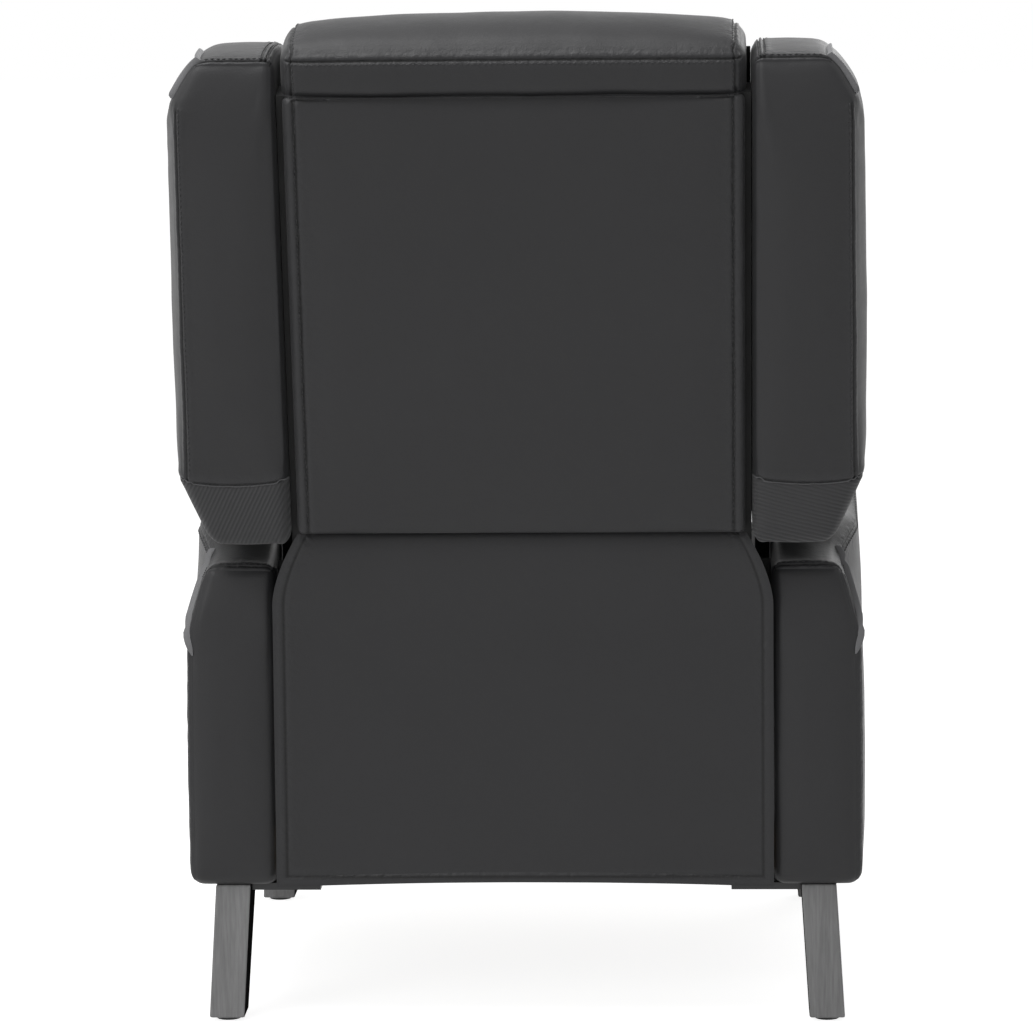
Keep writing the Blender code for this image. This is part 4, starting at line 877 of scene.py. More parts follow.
def sew(name, runs, surface, body):
    """Rows of stitches that lie on a surface along runs of points, as one piece."""
    bm = bmesh.new()
    for points in runs:
        for place, along in spaced(points, STITCH_PITCH):
            seat, normal = surface.find_nearest(place)[:2]
            along = (along - normal * along.dot(normal)).normalized()
            turn = Matrix((along, normal.cross(along), normal)).transposed().to_4x4()
            turn.translation = seat + normal * STITCH_RADIUS * STITCH_LIFT
            first = len(bm.verts)
            bm.from_mesh(STITCH)
            bm.verts.ensure_lookup_table()
            bmesh.ops.transform(bm, matrix=turn, verts=bm.verts[first:])
    obj = mesh_piece(name, bm)
    bpy.ops.object.shade_smooth()
    return dress(obj, THREAD, body)


def lay_cord(name, points, radius, surface):
    """A fine sewn-in cord along a run of points on a surface: a bevelled curve made a mesh."""
    curve = bpy.data.curves.new(name, "CURVE")
    curve.dimensions = "3D"
    curve.bevel_depth = radius
    curve.bevel_resolution = 2
    curve.use_fill_caps = True
    spline = curve.splines.new("POLY")
    spline.points.add(len(points) - 1)
    for point, place in zip(spline.points, points):
        seat, normal = surface.find_nearest(place)[:2]
        point.co = (*(seat + normal * radius * HEM_CORD_LIFT), 1)
    pick(new_piece(name, curve))
    bpy.ops.object.convert(target="MESH")
    bpy.ops.object.shade_smooth()
    return bpy.context.object


STITCH = stitch_mesh()


# Arms


def arm_height(y):
    setback = -y
    height = ARM_REAR_HEIGHT
    height += (ARM_SADDLE_HEIGHT - ARM_REAR_HEIGHT) * smooth(setback / ARM_SADDLE_SETBACK)
    run = ARM_CREST_SETBACK - ARM_SADDLE_SETBACK
    height += (ARM_CREST_HEIGHT - ARM_SADDLE_HEIGHT) * smooth((setback - ARM_SADDLE_SETBACK) / run)
    fall = smooth((setback - ARM_CREST_SETBACK) / (CHAIR_DEPTH - ARM_CREST_SETBACK))
    height -= (ARM_CREST_HEIGHT - ARM_FRONT_HEIGHT) * fall
    nose = max((setback - CHAIR_DEPTH) / ARM_NOSE_DEPTH + 1, 0)
    return height - ARM_NOSE_DROP * nose * nose


def arm_lean(y, z):
    fade = smooth((-y - ARM_LEAN_HOLD) / ARM_LEAN_FADE)
    most = between(ARM_LEAN_IN, ARM_FRONT_LEAN_IN, fade)
    return most * smooth((z - ARM_LEAN_START) / (ARM_LEAN_END - ARM_LEAN_START))


def shape_arm(place):
    share = (place.z - ARM_BOTTOM) / (ARM_REAR_HEIGHT - ARM_BOTTOM)
    z = between(ARM_BOTTOM, arm_height(place.y), share)
    outer_share = (place.x - ARM_INNER) / (HALF_WIDTH - ARM_INNER)
    brow = smooth((place.z - ARM_REAR_HEIGHT) / BROW_HEIGHT + 1) ** 2
    y = place.y - ARM_BROW * brow * max(1 + place.y / BROW_DEPTH, 0)
    return Vector((place.x - arm_lean(place.y, z) * outer_share, y, z))


def build_arms():
    low = Vector((ARM_INNER, -CHAIR_DEPTH, ARM_BOTTOM))
    high = Vector((HALF_WIDTH, 0, ARM_REAR_HEIGHT))
    rear_line, front_line = high.y - ARM_TOP_SEAM, low.y + ARM_SIDE_SEAM
    side_rear, side_top = high.y - ARM_SIDE_SEAM, high.z - ARM_SIDE_SEAM

    def lines_at(place):
        """Seams across both ends of the top, and round the outer side's panel."""
        lines = []
        if place.z > high.z - NEAR:
            lines.append((place.y - rear_line, place.x))
            lines.append((place.y - front_line, place.x))
        if place.x > high.x - NEAR:
            if front_line - SEAM_WIDTH < place.y < side_rear + SEAM_WIDTH:
                lines.append((place.z - side_top, place.y))
            if place.z < side_top + SEAM_WIDTH:
                lines.append((place.y - side_rear, place.z))
                lines.append((place.y - front_line, place.z))
        return lines

    def held(place):
        return place.x < low.x + NEAR or place.z < low.z + NEAR

    cover = Cover(
        "arm_cover_left",
        low,
        high,
        ARM_ROUNDING,
        ((), (rear_line, side_rear, front_line), (side_top,)),
        ((0, ARM_CROWN), (0, 0), (0, ARM_CROWN)),
        shape_arm,
        on_chair,
    )
    obj = cover.finish(lines_at, held, pressure=4, cap=0.0035, ripple=0.0009)
    other = mirror_copy(obj, "arm_cover_right")
    rear_row, front_row = rear_line - STITCH_OFFSET, front_line + STITCH_OFFSET
    top_row = side_top - STITCH_OFFSET
    start, end = low.x + ROW_END, high.x - ARM_ROW_OUTER_END
    rear_end, front_end = side_rear - ROW_END, front_row + ROW_GAP
    low_end = low.z + ARM_ROW_LOW_END
    runs = [cover.row((start, y, high.z), (end, y, high.z), 10) for y in (rear_row, front_row)]
    runs.append(cover.row((high.x, rear_end, top_row), (high.x, front_end, top_row), 90))
    runs.append(cover.row((high.x, front_row, low_end), (high.x, front_row, top_row), 40))
    for (word, side), arm in zip(SIDES, (obj, other)):
        mirrored = [mirror_run(run, side) for run in runs]
        sew(f"arm_stitches_{word}", mirrored, surface_of(arm), "base")
        dress(arm, BODY_LEATHER, "base", [f"arm_{word}"])
    return obj, other


# Wings


def wing_inset(z):
    shoulder = max((z - WING_SHOULDER) / (WING_TOP - WING_SHOULDER), 0)
    hem = max((WING_HEM - z) / (WING_HEM - WING_BOTTOM), 0)
    taper = max(z - WING_HEM, 0) / (WING_TOP - WING_HEM)
    return WING_SHOULDER_IN * shoulder + WING_HEM_IN * hem + WING_TAPER * taper


def wing_share(x):
    return (x - WING_INNER) / (HALF_WIDTH - WING_INNER)


def twill_top(x):
    """The twill's upper edge sags between the wing's inner and outer sides."""
    share = min(max(wing_share(x), 0), 1)
    return WING_HEM - TWILL_SAG * 4 * share * (1 - share)


def shape_wing(place):
    share = wing_share(place.x)
    forward = (BACK_REAR - place.y) / (BACK_REAR - WING_FRONT)
    bulge = math.sin(math.pi * (place.z - WING_BOTTOM) / (WING_TOP - WING_BOTTOM))
    high = smooth((place.z - WING_DROP_START) / (WING_TOP - WING_DROP_START))
    x = place.x - wing_inset(place.z) * share
    z = place.z - WING_FRONT_DROP * high * max(forward, 0) ** 2
    z += (twill_top(place.x) - WING_HEM) * dent(place.z - WING_HEM, TWILL_SAG * TWILL_SAG_REACH)
    brow = smooth((place.z - WING_TOP) / BROW_HEIGHT + 1) ** 2
    y = place.y - WING_BROW * brow * max(1 - (BACK_REAR - place.y) / BROW_DEPTH, 0)
    return Vector((x, y - WING_FRONT_BULGE * bulge * forward, z))


def build_wings():
    low = Vector((WING_INNER, WING_FRONT, WING_BOTTOM))
    high = Vector((HALF_WIDTH, WING_REAR, WING_TOP))
    side_line, top_line = high.x - WING_SIDE_SEAM, high.y - WING_TOP_SEAM
    front_line = low.y + WING_SIDE_SEAM
    band_lines = (low.x + WING_BAND, low.x + WING_BAND + WING_BAND_WIDTH)

    def lines_at(place):
        """The rear's side seam, the top's rear seam, the inner corner's band and the hem."""
        lines = []
        on_rear = place.y > high.y - NEAR
        on_side = place.x > high.x - NEAR
        on_top = place.z > high.z - NEAR
        on_front = place.y < low.y + NEAR
        if on_rear and WING_HEM < place.z < WING_SHOULDER:
            lines.append((place.x - side_line, place.z))
        if on_top:
            lines.append((place.y - top_line, place.x))
            if place.y < top_line:
                lines += [(place.x - line, place.y) for line in band_lines]
        if on_front:
            lines += [(place.x - line, place.z) for line in band_lines]
        if on_side:
            lines.append((place.y - front_line, place.z))
        if on_rear or on_side or on_front:
            lines.append((place.z - WING_HEM, place.x + place.y))
        return lines

    def held(place):
        return place.x < low.x + NEAR

    cover = Cover(
        "wing_cover_left",
        low,
        high,
        WING_ROUNDING,
        ((side_line, *band_lines), (top_line, front_line), (WING_HEM,)),
        ((0, WING_CROWN), (0, SLIGHT_CROWN), (0, 0)),
        shape_wing,
        on_back,
    )
    obj = cover.obj
    obj.data.materials.append(BODY_LEATHER)
    obj.data.materials.append(TWILL_LEFT)
    for face in obj.data.polygons:
        below = all(cover.flat[number].z < WING_HEM + SEAM_WIDTH / 2 for number in face.vertices)
        face.material_index = 1 if below else 0
    cover.finish(lines_at, held, pressure=4, cap=0.0035, ripple=0.0010)
    other = mirror_copy(obj, "wing_cover_right")
    # The right wing takes the darker twill copy: painted shade
    other.data.materials[1] = SHADED_TWILL_RIGHT
    side_row, top_row = side_line - STITCH_OFFSET, top_line - STITCH_OFFSET
    band_rows = (band_lines[0] - STITCH_OFFSET / 2, band_lines[1] + STITCH_OFFSET / 2)
    low_end, start, end = WING_HEM + WING_HEM_GAP, low.x + ROW_END, high.x - WING_ROW_END
    front_end, top_end = low.y + WING_ROW_END, high.z - WING_ROW_END
    runs = [
        cover.row((side_row, high.y, low_end), (side_row, high.y, WING_SHOULDER), 40),
        cover.row((start, top_row, high.z), (end, top_row, high.z), 14),
    ]
    for x in band_rows:
        runs.append(cover.row((x, top_row, high.z), (x, front_end, high.z), 20))
        runs.append(cover.row((x, low.y, top_end), (x, low.y, WING_HEM), 40))
    hem_run = []
    for start, end, count in (
        ((low.x, high.y - WING_ROW_END), (low.x, high.y - HEM_CORNER), 4),
        ((low.x + HEM_CORNER, high.y), (high.x - HEM_CORNER, high.y), 30),
        ((high.x, high.y - HEM_CORNER), (high.x, low.y + ROW_END), 30),
    ):
        hem_run += cover.row((*start, WING_HEM), (*end, WING_HEM), count)
    for (word, side), wing in zip(SIDES, (obj, other)):
        surface = surface_of(wing)
        mirrored = [mirror_run(run, side) for run in runs]
        sew(f"wing_stitches_{word}", mirrored, surface, "back")
        hem = lay_cord(f"wing_hem_cord_{word}", mirror_run(hem_run, side), HEM_CORD_RADIUS, surface)
        dress(hem, HEM_LEATHER, "back")
        dress(wing, BODY_LEATHER, "back", [f"wing_{word}"])
    return obj, other


# Flat piping


def build_piping(name, node, path, surface, body):
    """A flat folded strip that stands out from a surface.

    The path holds places, widths, and the directions that the strip stands out in.
    """
    bm = bmesh.new()
    rings = []
    for number, (place, width, away) in enumerate(path):
        seat = surface.ray_cast(place + away * PIPING_START, -away)[0] or place
        run = path[min(number + 1, len(path) - 1)][0] - path[max(number - 1, 0)][0]
        thick = run.cross(away).normalized() * PIPING_THICKNESS / 2
        corners = [seat + away * out * width + thick * across for across, out in PIPING_PROFILE]
        rings.append([bm.verts.new(corner) for corner in corners])
    for near, far in zip(rings, rings[1:]):
        for number in range(len(near)):
            after = (number + 1) % len(near)
            bm.faces.new((near[number], near[after], far[after], far[number]))
    bm.faces.new(rings[0][::-1])
    bm.faces.new(rings[-1])
    bmesh.ops.recalc_face_normals(bm, faces=bm.faces)
    obj = mesh_piece(name, bm)
    bpy.ops.object.shade_smooth_by_angle(angle=PIPING_SMOOTHING)
    return dress(obj, PIPING_LEATHER, body, [node])


def piping_width(share):
    """Full width along the strip, rounded off at both ends."""
    end = min(share, 1 - share) * PIPING_END_RATE
    return PIPING_WIDTH * math.sqrt(smooth(min(end, 1)) * (1 - PIPING_TIP) + PIPING_TIP)


def build_all_piping(arms, wings):
    for (word, side), arm, wing in zip(SIDES, arms, wings):
        surface = surface_of(arm)
        path = []
        for number in range(PIPING_STEPS + 1):
            share = number / PIPING_STEPS
            climb = share * (2 - share)
            y = -ARM_PIPING_SETBACK - ARM_PIPING_RUN * climb * climb
            z = arm_height(y) - between(ARM_PIPING_LOW_DROP, ARM_PIPING_TOP_DROP, climb)
            place = on_chair(Vector(((HALF_WIDTH - arm_lean(y, z)) * side, y, z)))
            path.append((place, piping_width(share), Vector((side, 0, 0))))
        build_piping(f"arm_strip_{word}", f"arm_piping_{word}", path, surface, "base")
        surface = surface_of(wing)
        path = []
        for number in range(PIPING_STEPS + 1):
            share = number / PIPING_STEPS
            climb = min(share / WING_PIPING_BEND, 1)
            run = max(share - WING_PIPING_BEND, 0) / (1 - WING_PIPING_BEND)
            y = BACK_REAR - WING_PIPING_SETBACK - WING_PIPING_RUN * run
            z = WING_TOP - WING_PIPING_TOP_DROP - WING_PIPING_LENGTH * (1 - climb)
            x, y, z = shape_wing(Vector((HALF_WIDTH, y, z)))
            place = on_back(Vector((x * side, y, z)))
            turned = smooth((share - WING_PIPING_TILT_START) / WING_PIPING_TILT_SPAN)
            tilt = WING_PIPING_TILT * turned
            tip = on_back(Vector(((x + math.cos(tilt)) * side, y, z + math.sin(tilt))))
            path.append((place, piping_width(share), (tip - place).normalized()))
        build_piping(f"wing_strip_{word}", f"wing_piping_{word}", path, surface, "back")


# Back


def build_rear_panel():
    low = Vector((-PANEL_HALF_WIDTH, PANEL_FRONT, PANEL_BOTTOM))
    high = Vector((PANEL_HALF_WIDTH, BACK_REAR, PANEL_TOP))
    stitch_x = PANEL_HALF_WIDTH - PANEL_STITCH_INSET

    def lines_at(place):
        return [(abs(place.x) - stitch_x, place.z)] if place.y >= high.y - NEAR else []

    cover = Cover(
        "rear_panel_cover",
        low,
        high,
        PANEL_ROUNDING,
        ((stitch_x, -stitch_x), (), ()),
        ((0, 0), (0, PANEL_CROWN), (0, 0)),
        unchanged,
        on_back,
    )
    def held(place):
        return place.y < high.y - NEAR

    obj = cover.finish(lines_at, held, pressure=3, cap=0.0025, ripple=0.0007)
    start, end = low.z + PANEL_ROW_END, high.z - PANEL_ROW_END
    runs = [cover.row((x, high.y, start), (x, high.y, end), 40) for x in (-stitch_x, stitch_x)]
    sew("rear_panel_stitches", runs, surface_of(obj), "back")
    dress(obj, BODY_LEATHER, "back", ["rear_panel"])


def build_head_cushion():
    low = Vector((-CUSHION_HALF_WIDTH, HEAD_FRONT, HEAD_BOTTOM))
    high = Vector((CUSHION_HALF_WIDTH, BACK_REAR, HEAD_TOP))
    seam_z, end_x = high.z - HEAD_SEAM_DROP, high.x - HEAD_END_SEAM
    space_front, space_top = FRAME_FRONT - SEAT_GAP, PANEL_TOP + SEAT_GAP

    def slope(place):
        """Slopes the top to both sides, and tucks the rear face in above the rear panel."""
        rear_share = smooth((place.y - HEAD_FRONT) / (BACK_REAR - HEAD_FRONT))
        high_share = (place.z - PANEL_TOP) / (HEAD_TOP - PANEL_TOP)
        drop = HEAD_REAR_DROP * rear_share**2 + HEAD_FRONT_DROP * (1 - rear_share) ** 2
        tuck = HEAD_TUCK * dent(place.z - PANEL_TOP, HEAD_TUCK_HEIGHT) * rear_share
        return place - Vector((0, tuck, drop * max(high_share, 0)))

    def lines_at(place):
        lines = []
        on_rear, on_top = place.y > high.y - NEAR, place.z > high.z - NEAR
        on_front = place.y < low.y + NEAR
        if on_rear:
            lines.append((place.z - seam_z, place.x))
        if on_rear or on_top or on_front:
            lines.append((abs(place.x) - end_x, place.z + place.y))
        return lines

    def held(place):
        if place.z < low.z + NEAR or abs(place.x) > high.x - NEAR:
            return True
        return place.y > space_front and place.z < space_top

    cover = Cover(
        "head_cushion_cover",
        low,
        high,
        HEAD_ROUNDING,
        ((end_x, -end_x), (), (seam_z, PANEL_TOP + SEAM_WIDTH)),
        ((0, 0), (HEAD_CROWN, SLIGHT_CROWN), (0, HEAD_CROWN)),
        slope,
        unchanged,
    )
    obj = cover.finish(lines_at, held, pressure=4, cap=0.007, ripple=0.0012)
    for vert in obj.data.vertices:
        if vert.co.y > space_front and vert.co.z < space_top:
            if vert.co.y - space_front < space_top - vert.co.z:
                vert.co.y = space_front
            else:
                vert.co.z = space_top
    for vert in obj.data.vertices:
        vert.co = on_back(vert.co)
    surface = surface_of(obj)
    cover.carrier = on_back
    row_z, reach = seam_z - STITCH_OFFSET, end_x - ROW_GAP
    runs = [cover.row((-reach, high.y, row_z), (reach, high.y, row_z), 60)]
    for side in (-1, 1):
        x = side * (end_x - STITCH_OFFSET)
        for start, end, count in (
            ((high.y, seam_z), (high.y, PANEL_TOP + PANEL_ROW_END), 10),
            ((high.y - ROW_GAP, high.z), (low.y + HEAD_ROW_END, high.z), 30),
            ((low.y, high.z - HEAD_ROW_END), (low.y, low.z + HEAD_ROW_LOW_END), 30),
        ):
            runs.append(cover.row((x, *start), (x, *end), count))
    sew("head_cushion_stitches", runs, surface, "back")
    dress(obj, BODY_LEATHER, "back", ["head_cushion"])


def build_back_cushion():
    low = Vector((-CUSHION_HALF_WIDTH, BACK_CUSHION_FRONT, BACK_CUSHION_BOTTOM))
    high = Vector((CUSHION_HALF_WIDTH, FRAME_FRONT, BACK_CUSHION_TOP))

    def channels_at(place):
        """Channels beside the bolsters, and across the middle at the lumbar and the shoulders."""
        if place.y > low.y + NEAR:
            return 0
        sides = dent(abs(place.x) - BOLSTER_PLACE, CHANNEL_WIDTH)
        if abs(place.x) > BOLSTER_PLACE:
            return sides
        across = [dent(place.z - line, CHANNEL_WIDTH) for line in (LUMBAR_SEAM, SHOULDER_SEAM)]
        return max(sides, *across)

    cover = Cover(
        "back_cushion_cover",
        low,
        high,
        CUSHION_ROUNDING,
        ((BOLSTER_PLACE, -BOLSTER_PLACE), (), (LUMBAR_SEAM, SHOULDER_SEAM)),
        ((0, 0), (BACK_CUSHION_CROWN, 0), (0, 0)),
        unchanged,
        on_back,
    )

    def held(place):
        if place.y > high.y - NEAR or abs(place.x) > high.x - NEAR:
            return True
        return channels_at(place) > CHANNEL_HELD

    obj = cover.finish(no_lines, held, 4, cap=0.016, ripple=0.0012, channels_at=channels_at)
    dress(obj, BODY_LEATHER, "back", ["back_cushion"])


def shade_strip(name, low, high, side, carrier, body):
    """A thin near-black strip, its edges rounded, on one side of the chair: painted shade in a gap."""
    obj = block(name, low, high)
    apply_modifier(obj, "BEVEL", width=SHADE_SHEET_EDGE, segments=2)
    for vert in obj.data.vertices:
        place = carrier(vert.co)
        vert.co = Vector((place.x * side, place.y, place.z))
    if side < 0:
        obj.data.flip_normals()
    dress(obj, SHADE_SHEET, body)


def build_gap_shades():
    """Near-black strips as painted shade behind the gaps at the wings, and between the arms and the back's sides.
    """
    rear, front = PANEL_FRONT + FRAME_SHADE_REAR, PANEL_FRONT - FRAME_SHADE_FRONT
    inner, outer = CUSHION_HALF_WIDTH + HEAD_SHADE_GAP, WING_INNER - SEAT_GAP
    for word, side in SIDES:
        low = (PANEL_HALF_WIDTH - FRAME_SHADE_LAP, front, PANEL_BOTTOM - FRAME_SHADE_DROP)
        high = (outer, rear, PANEL_TOP)
        shade_strip(f"frame_shade_sheet_{word}", low, high, side, on_back, "back")
        low = (inner, HEAD_SHADE_PLACE, HEAD_BOTTOM)
        high = (outer, HEAD_SHADE_PLACE + SHADE_SHEET_THICKNESS, HEAD_SHADE_TOP)
        shade_strip(f"head_shade_sheet_{word}", low, high, side, on_back, "back")
        for number, (place, top) in enumerate(SIDE_SHADE_ENDS, 1):
            low = (SIDE_SHADE_INNER, place, SIDE_SHADE_BOTTOM)
            high = (ARM_INNER - SEAT_GAP, place + SHADE_SHEET_THICKNESS, top)
            name = f"side_shade_sheet_{word}_{number}"
            shade_strip(name, low, high, side, on_chair, "base")


# Seat and footrest


def build_seat_cushion():
    low = Vector((-SEAT_HALF_WIDTH, SEAT_FRONT + SEAT_FRONT_GAP, SEAT_DECK))
    high = Vector((SEAT_HALF_WIDTH, SEAT_REAR, SEAT_DECK + SEAT_HEIGHT))

    def shape(place):
        """The front lip hangs a little below the deck."""
        fade = 1 - smooth((place.z - low.z) / SEAT_LIP_HEIGHT)
        lip = dent(place.y - SEAT_FRONT, SEAT_LIP_DEPTH) * fade
        return place - Vector((0, 0, SEAT_LIP_DROP * lip))

    def channels_at(place):
        if place.z < high.z - NEAR:
            return 0
        roll = dent(place.y - SEAT_ROLL_LINE, CHANNEL_WIDTH)
        if place.y < SEAT_ROLL_LINE:
            return roll
        return max(roll, dent(abs(place.x) - SEAT_CHANNEL_PLACE, CHANNEL_WIDTH))

    cover = Cover(
        "seat_cushion_cover",
        low,
        high,
        CUSHION_ROUNDING,
        ((SEAT_CHANNEL_PLACE, -SEAT_CHANNEL_PLACE), (SEAT_ROLL_LINE,), ()),
        ((0, 0), (SLIGHT_CROWN, 0), (0, SEAT_CROWN)),
        shape,
        on_chair,
    )

    def held(place):
        if place.z < low.z + NEAR or abs(place.x) > high.x - NEAR:
            return True
        return channels_at(place) > CHANNEL_HELD

    obj = cover.finish(no_lines, held, 4, cap=0.012, ripple=0.0012, channels_at=channels_at)
    dress(obj, BODY_LEATHER, "seat", ["seat_cushion"])


def build_footrest_cushion():
    low = Vector((-FOOTREST_HALF_WIDTH, SEAT_FRONT, FOOTREST_LOW))
    high = Vector((FOOTREST_HALF_WIDTH, FOOTREST_REAR, FOOTREST_HIGH))

    def channels_at(place):
        if place.y > low.y + NEAR:
            return 0
        return FOOTREST_CHANNEL * dent(place.z - FOOTREST_SEAM, CHANNEL_WIDTH)

    cover = Cover(
        "footrest_cushion_cover",
        low,
        high,
        FOOTREST_ROUNDING,
        ((), (), (FOOTREST_SEAM,)),
        ((0, 0), (FOOTREST_CROWN, 0), (0, 0)),
        unchanged,
        on_chair,
    )

    def held(place):
        if place.y > high.y - NEAR or abs(place.x) > high.x - NEAR:
            return True
        return channels_at(place) > FOOTREST_CHANNEL_HELD

    obj = cover.finish(no_lines, held, 4, cap=0.006, ripple=0.0010, channels_at=channels_at)
    dress(obj, BODY_LEATHER, "footrest", ["footrest_cushion"])


# Flap behind the seat


def flap_half_width(z):
    drop = min(max((FLAP_TOP - z) / FLAP_SHOULDER_DROP, 0), 1)
    shoulder = 1 - (1 - drop) ** FLAP_SHOULDER_CURVE
    return between(FLAP_TOP_HALF_WIDTH, FLAP_HALF_WIDTH, shoulder)


def flap_bottom(across):
    return FLAP_BOTTOM + FLAP_BOTTOM_RISE * (1 - across * across)


def flap_place(across, share):
    """A point of the sheet from its share of the width and of the height."""
    low = flap_bottom(across)
    z = between(low, FLAP_TOP, share)
    half = flap_half_width(z)
    x = across * half
    tuck = FLAP_TUCK * smooth((z - FLAP_TOP + FLAP_TUCK_HEIGHT) / FLAP_TUCK_HEIGHT)
    tuck -= FLAP_ROLL * max((z - FLAP_TOP) / FLAP_ROLL_HEIGHT + 1, 0) ** 2
    wave = 0
    for rate, slice_place, rise_rate, height in FLAP_WAVES:
        wave += noise.noise(Vector((x * rate, slice_place, z * rise_rate))) * height
    rim = min(half - abs(x), z - low)
    hem = FLAP_HEM_RISE * smooth((FLAP_HEM - rim) / FLAP_HEM_EDGE)
    sewn = FLAP_SEWN_DEPTH * dent(rim - FLAP_STITCH_INSET, FLAP_SEWN_WIDTH)
    y = REAR + FLAP_SETBACK + tuck + max(wave, -FLAP_HOLLOW) + hem - sewn
    return Vector((x, y, z))


def edge_spread(share, hem_share):
    """Bunches grid lines at a hem: FLAP_HEM_LINES is the share of them that lies there."""
    near, reach = FLAP_HEM_LINES, hem_share * FLAP_HEM_SPREAD
    if share < near:
        return reach * share / near
    return between(reach, 1, (share - near) / (1 - near))


def flap_share(across, z):
    """How far up the sheet a height lies."""
    return (z - flap_bottom(across)) / (FLAP_TOP - flap_bottom(across))


def build_flap():
    deselect()
    bpy.ops.mesh.primitive_grid_add(
        x_subdivisions=FLAP_COLUMNS, y_subdivisions=FLAP_ROWS, size=1
    )
    obj = bpy.context.object
    obj.name = obj.data.name = "flap_sheet"
    for vert in obj.data.vertices:
        side = 1 if vert.co.x > 0 else -1
        across = side * (1 - edge_spread(1 - 2 * abs(vert.co.x), FLAP_HEM / FLAP_HALF_WIDTH))
        share = edge_spread(vert.co.y + 0.5, FLAP_HEM / (FLAP_TOP - FLAP_BOTTOM))
        vert.co = flap_place(across, share)
    if obj.data.polygons[0].normal.y < 0:
        obj.data.flip_normals()
    # The flap's stitch line gets the same painted shade, and its lips the painted highlight
    marks = []
    for vert in obj.data.vertices:
        rim = min(flap_half_width(vert.co.z) - abs(vert.co.x), vert.co.z - FLAP_BOTTOM)
        marks += seam_shade_marks([(rim - FLAP_STITCH_INSET, 0)])
    write_marks(obj.data, "seam_shading", marks)
    apply_modifier(obj, "SOLIDIFY", thickness=FLAP_THICKNESS, offset=FLAP_WALL_OFFSET)
    bpy.ops.object.shade_smooth_by_angle(angle=FLAP_SMOOTHING)
    obj.data.materials.append(BODY_LEATHER)
    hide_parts("rear_flap")
    steps = [number / FLAP_RUN_STEPS for number in range(FLAP_RUN_STEPS + 1)]
    runs = []
    for side in (-1, 1):
        run = []
        for step in steps:
            z = between(FLAP_BOTTOM + FLAP_HEM, FLAP_TOP - FLAP_RUN_TOP_DROP, step)
            across = side * (1 - FLAP_STITCH_INSET / flap_half_width(z))
            run.append(flap_place(across, flap_share(across, z)))
        runs.append(run)
    for inset in (FLAP_EDGE_INSET, FLAP_STITCH_INSET):
        run = []
        for step in steps:
            across = between(-FLAP_RUN_REACH, FLAP_RUN_REACH, step)
            run.append(flap_place(across, inset / (FLAP_TOP - flap_bottom(across))))
        runs.append(run)
    stitches = sew("flap_stitches", runs, surface_of(obj), None)
    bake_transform(obj)
    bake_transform(stitches)


arms = build_arms()
wings = build_wings()
build_all_piping(arms, wings)
build_rear_panel()
build_head_cushion()
build_back_cushion()
build_gap_shades()
build_seat_cushion()
build_footrest_cushion()
build_flap()


# Stage, lights and camera


def seen_directly(tree):
    """1 where a camera, a reflection or a see-through surface looks straight at the ground."""
    rays = tree.nodes.new("ShaderNodeLightPath")
    total = rays.outputs["Is Camera Ray"]
    for name in ("Is Glossy Ray", "Is Transmission Ray"):
        total = calculate(tree, "MAXIMUM", total, rays.outputs[name])
    return total


def show_directly(tree, plain, seen, output):
    """One shader for what is seen directly, and a plain one for all other rays."""
    both = tree.nodes.new("ShaderNodeMixShader")
    tree.links.new(seen_directly(tree), both.inputs["Fac"])
    tree.links.new(plain, both.inputs[1])
    tree.links.new(seen, both.inputs[2])
    tree.links.new(both.outputs["Shader"], tree.nodes[output].inputs["Surface"])


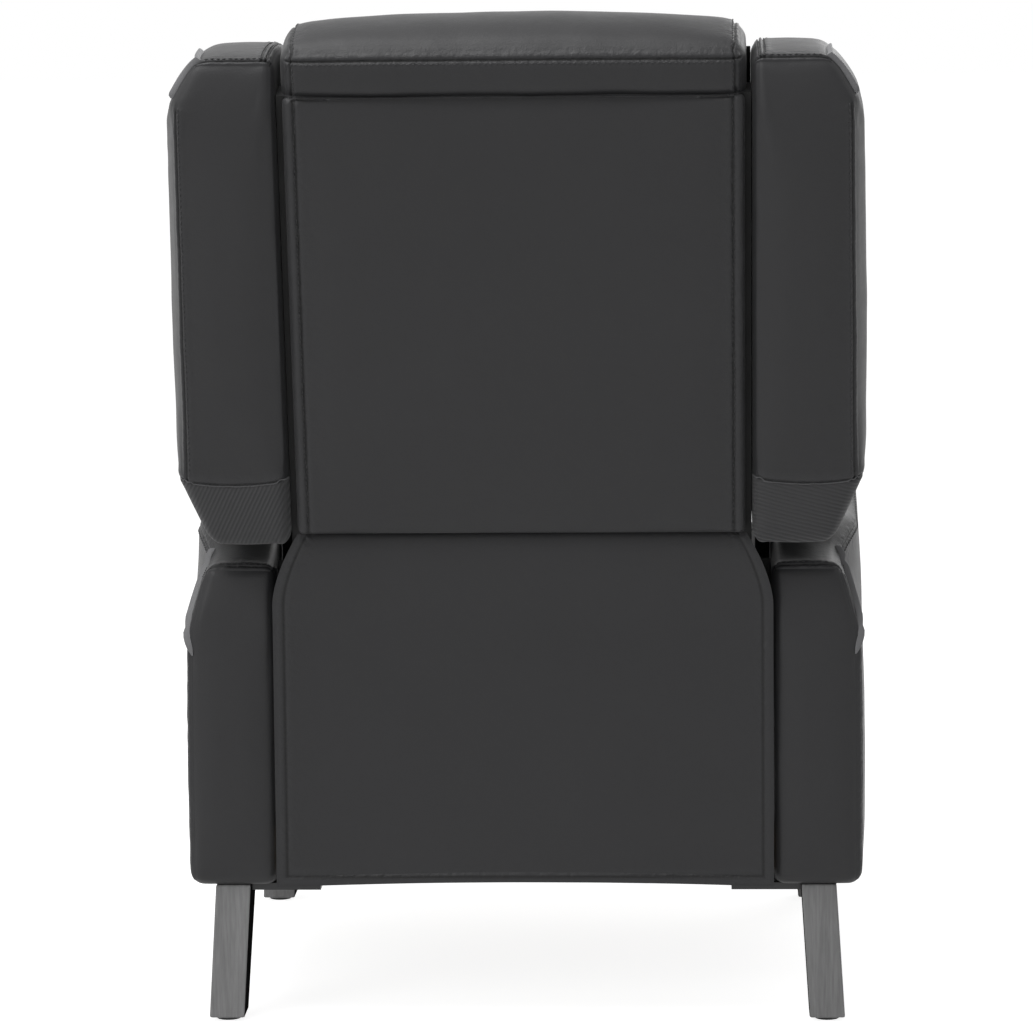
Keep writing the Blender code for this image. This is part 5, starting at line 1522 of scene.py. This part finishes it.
def build_stage():
    deselect()
    bpy.ops.mesh.primitive_plane_add(size=FLOOR_SIZE, location=(0, 0, 0))
    floor = bpy.context.object
    floor.name = "floor"
    material, tree, shader = new_material("white_floor")
    shader.inputs["Base Color"].default_value = (0.80, 0.80, 0.80, 1)
    shader.inputs["Roughness"].default_value = 0.9
    shader.inputs["Specular IOR Level"].default_value = 0.0
    glow = add_node(tree, "ShaderNodeEmission", Strength=0.88)
    shade = add_node(tree, "ShaderNodeBsdfDiffuse", Color=(0.50, 0.50, 0.50, 1))
    bright = tree.nodes.new("ShaderNodeAddShader")
    tree.links.new(glow.outputs["Emission"], bright.inputs[0])
    tree.links.new(shade.outputs["BSDF"], bright.inputs[1])
    show_directly(tree, shader.outputs["BSDF"], bright.outputs["Shader"], "Material Output")
    floor.data.materials.append(material)


def area_light(name, place, aim, size, power):
    data = bpy.data.lights.new(name, "AREA")
    data.shape = "RECTANGLE"
    data.size, data.size_y = size
    data.energy = power
    light = new_piece(name, data)
    light.location = place
    light.rotation_euler = (Vector(aim) - Vector(place)).to_track_quat("-Z", "Y").to_euler()


def build_studio():
    world = bpy.data.worlds.new("studio")
    world.use_nodes = True
    tree = world.node_tree
    background = tree.nodes["Background"]
    bright = tree.nodes.new("ShaderNodeBackground")
    for node, strength in ((background, 0.36), (bright, 1.0)):
        node.inputs["Color"].default_value = (1, 1, 1, 1)
        node.inputs["Strength"].default_value = strength
    plain, seen = background.outputs["Background"], bright.outputs["Background"]
    show_directly(tree, plain, seen, "World Output")
    bpy.context.scene.world = world
    for light in LIGHTS:
        area_light(*light)


def build_camera():
    data = bpy.data.cameras.new("camera")
    camera = new_piece("camera", data)
    data.sensor_width = 36
    data.lens = CAMERA_LENS
    camera.location = (CAMERA_ASIDE, REAR + CAMERA_DISTANCE, CAMERA_HEIGHT)
    look = Matrix.Rotation(math.pi + CAMERA_TURN, 3, "Z")
    look = look @ Matrix.Rotation(math.pi / 2 - CAMERA_PITCH, 3, "X")
    camera.rotation_euler = (look @ Matrix.Rotation(-CAMERA_ROLL, 3, "Z")).to_euler()
    bpy.context.scene.camera = camera


build_stage()
build_studio()
build_camera()
bpy.context.scene.view_settings.view_transform = "Standard"
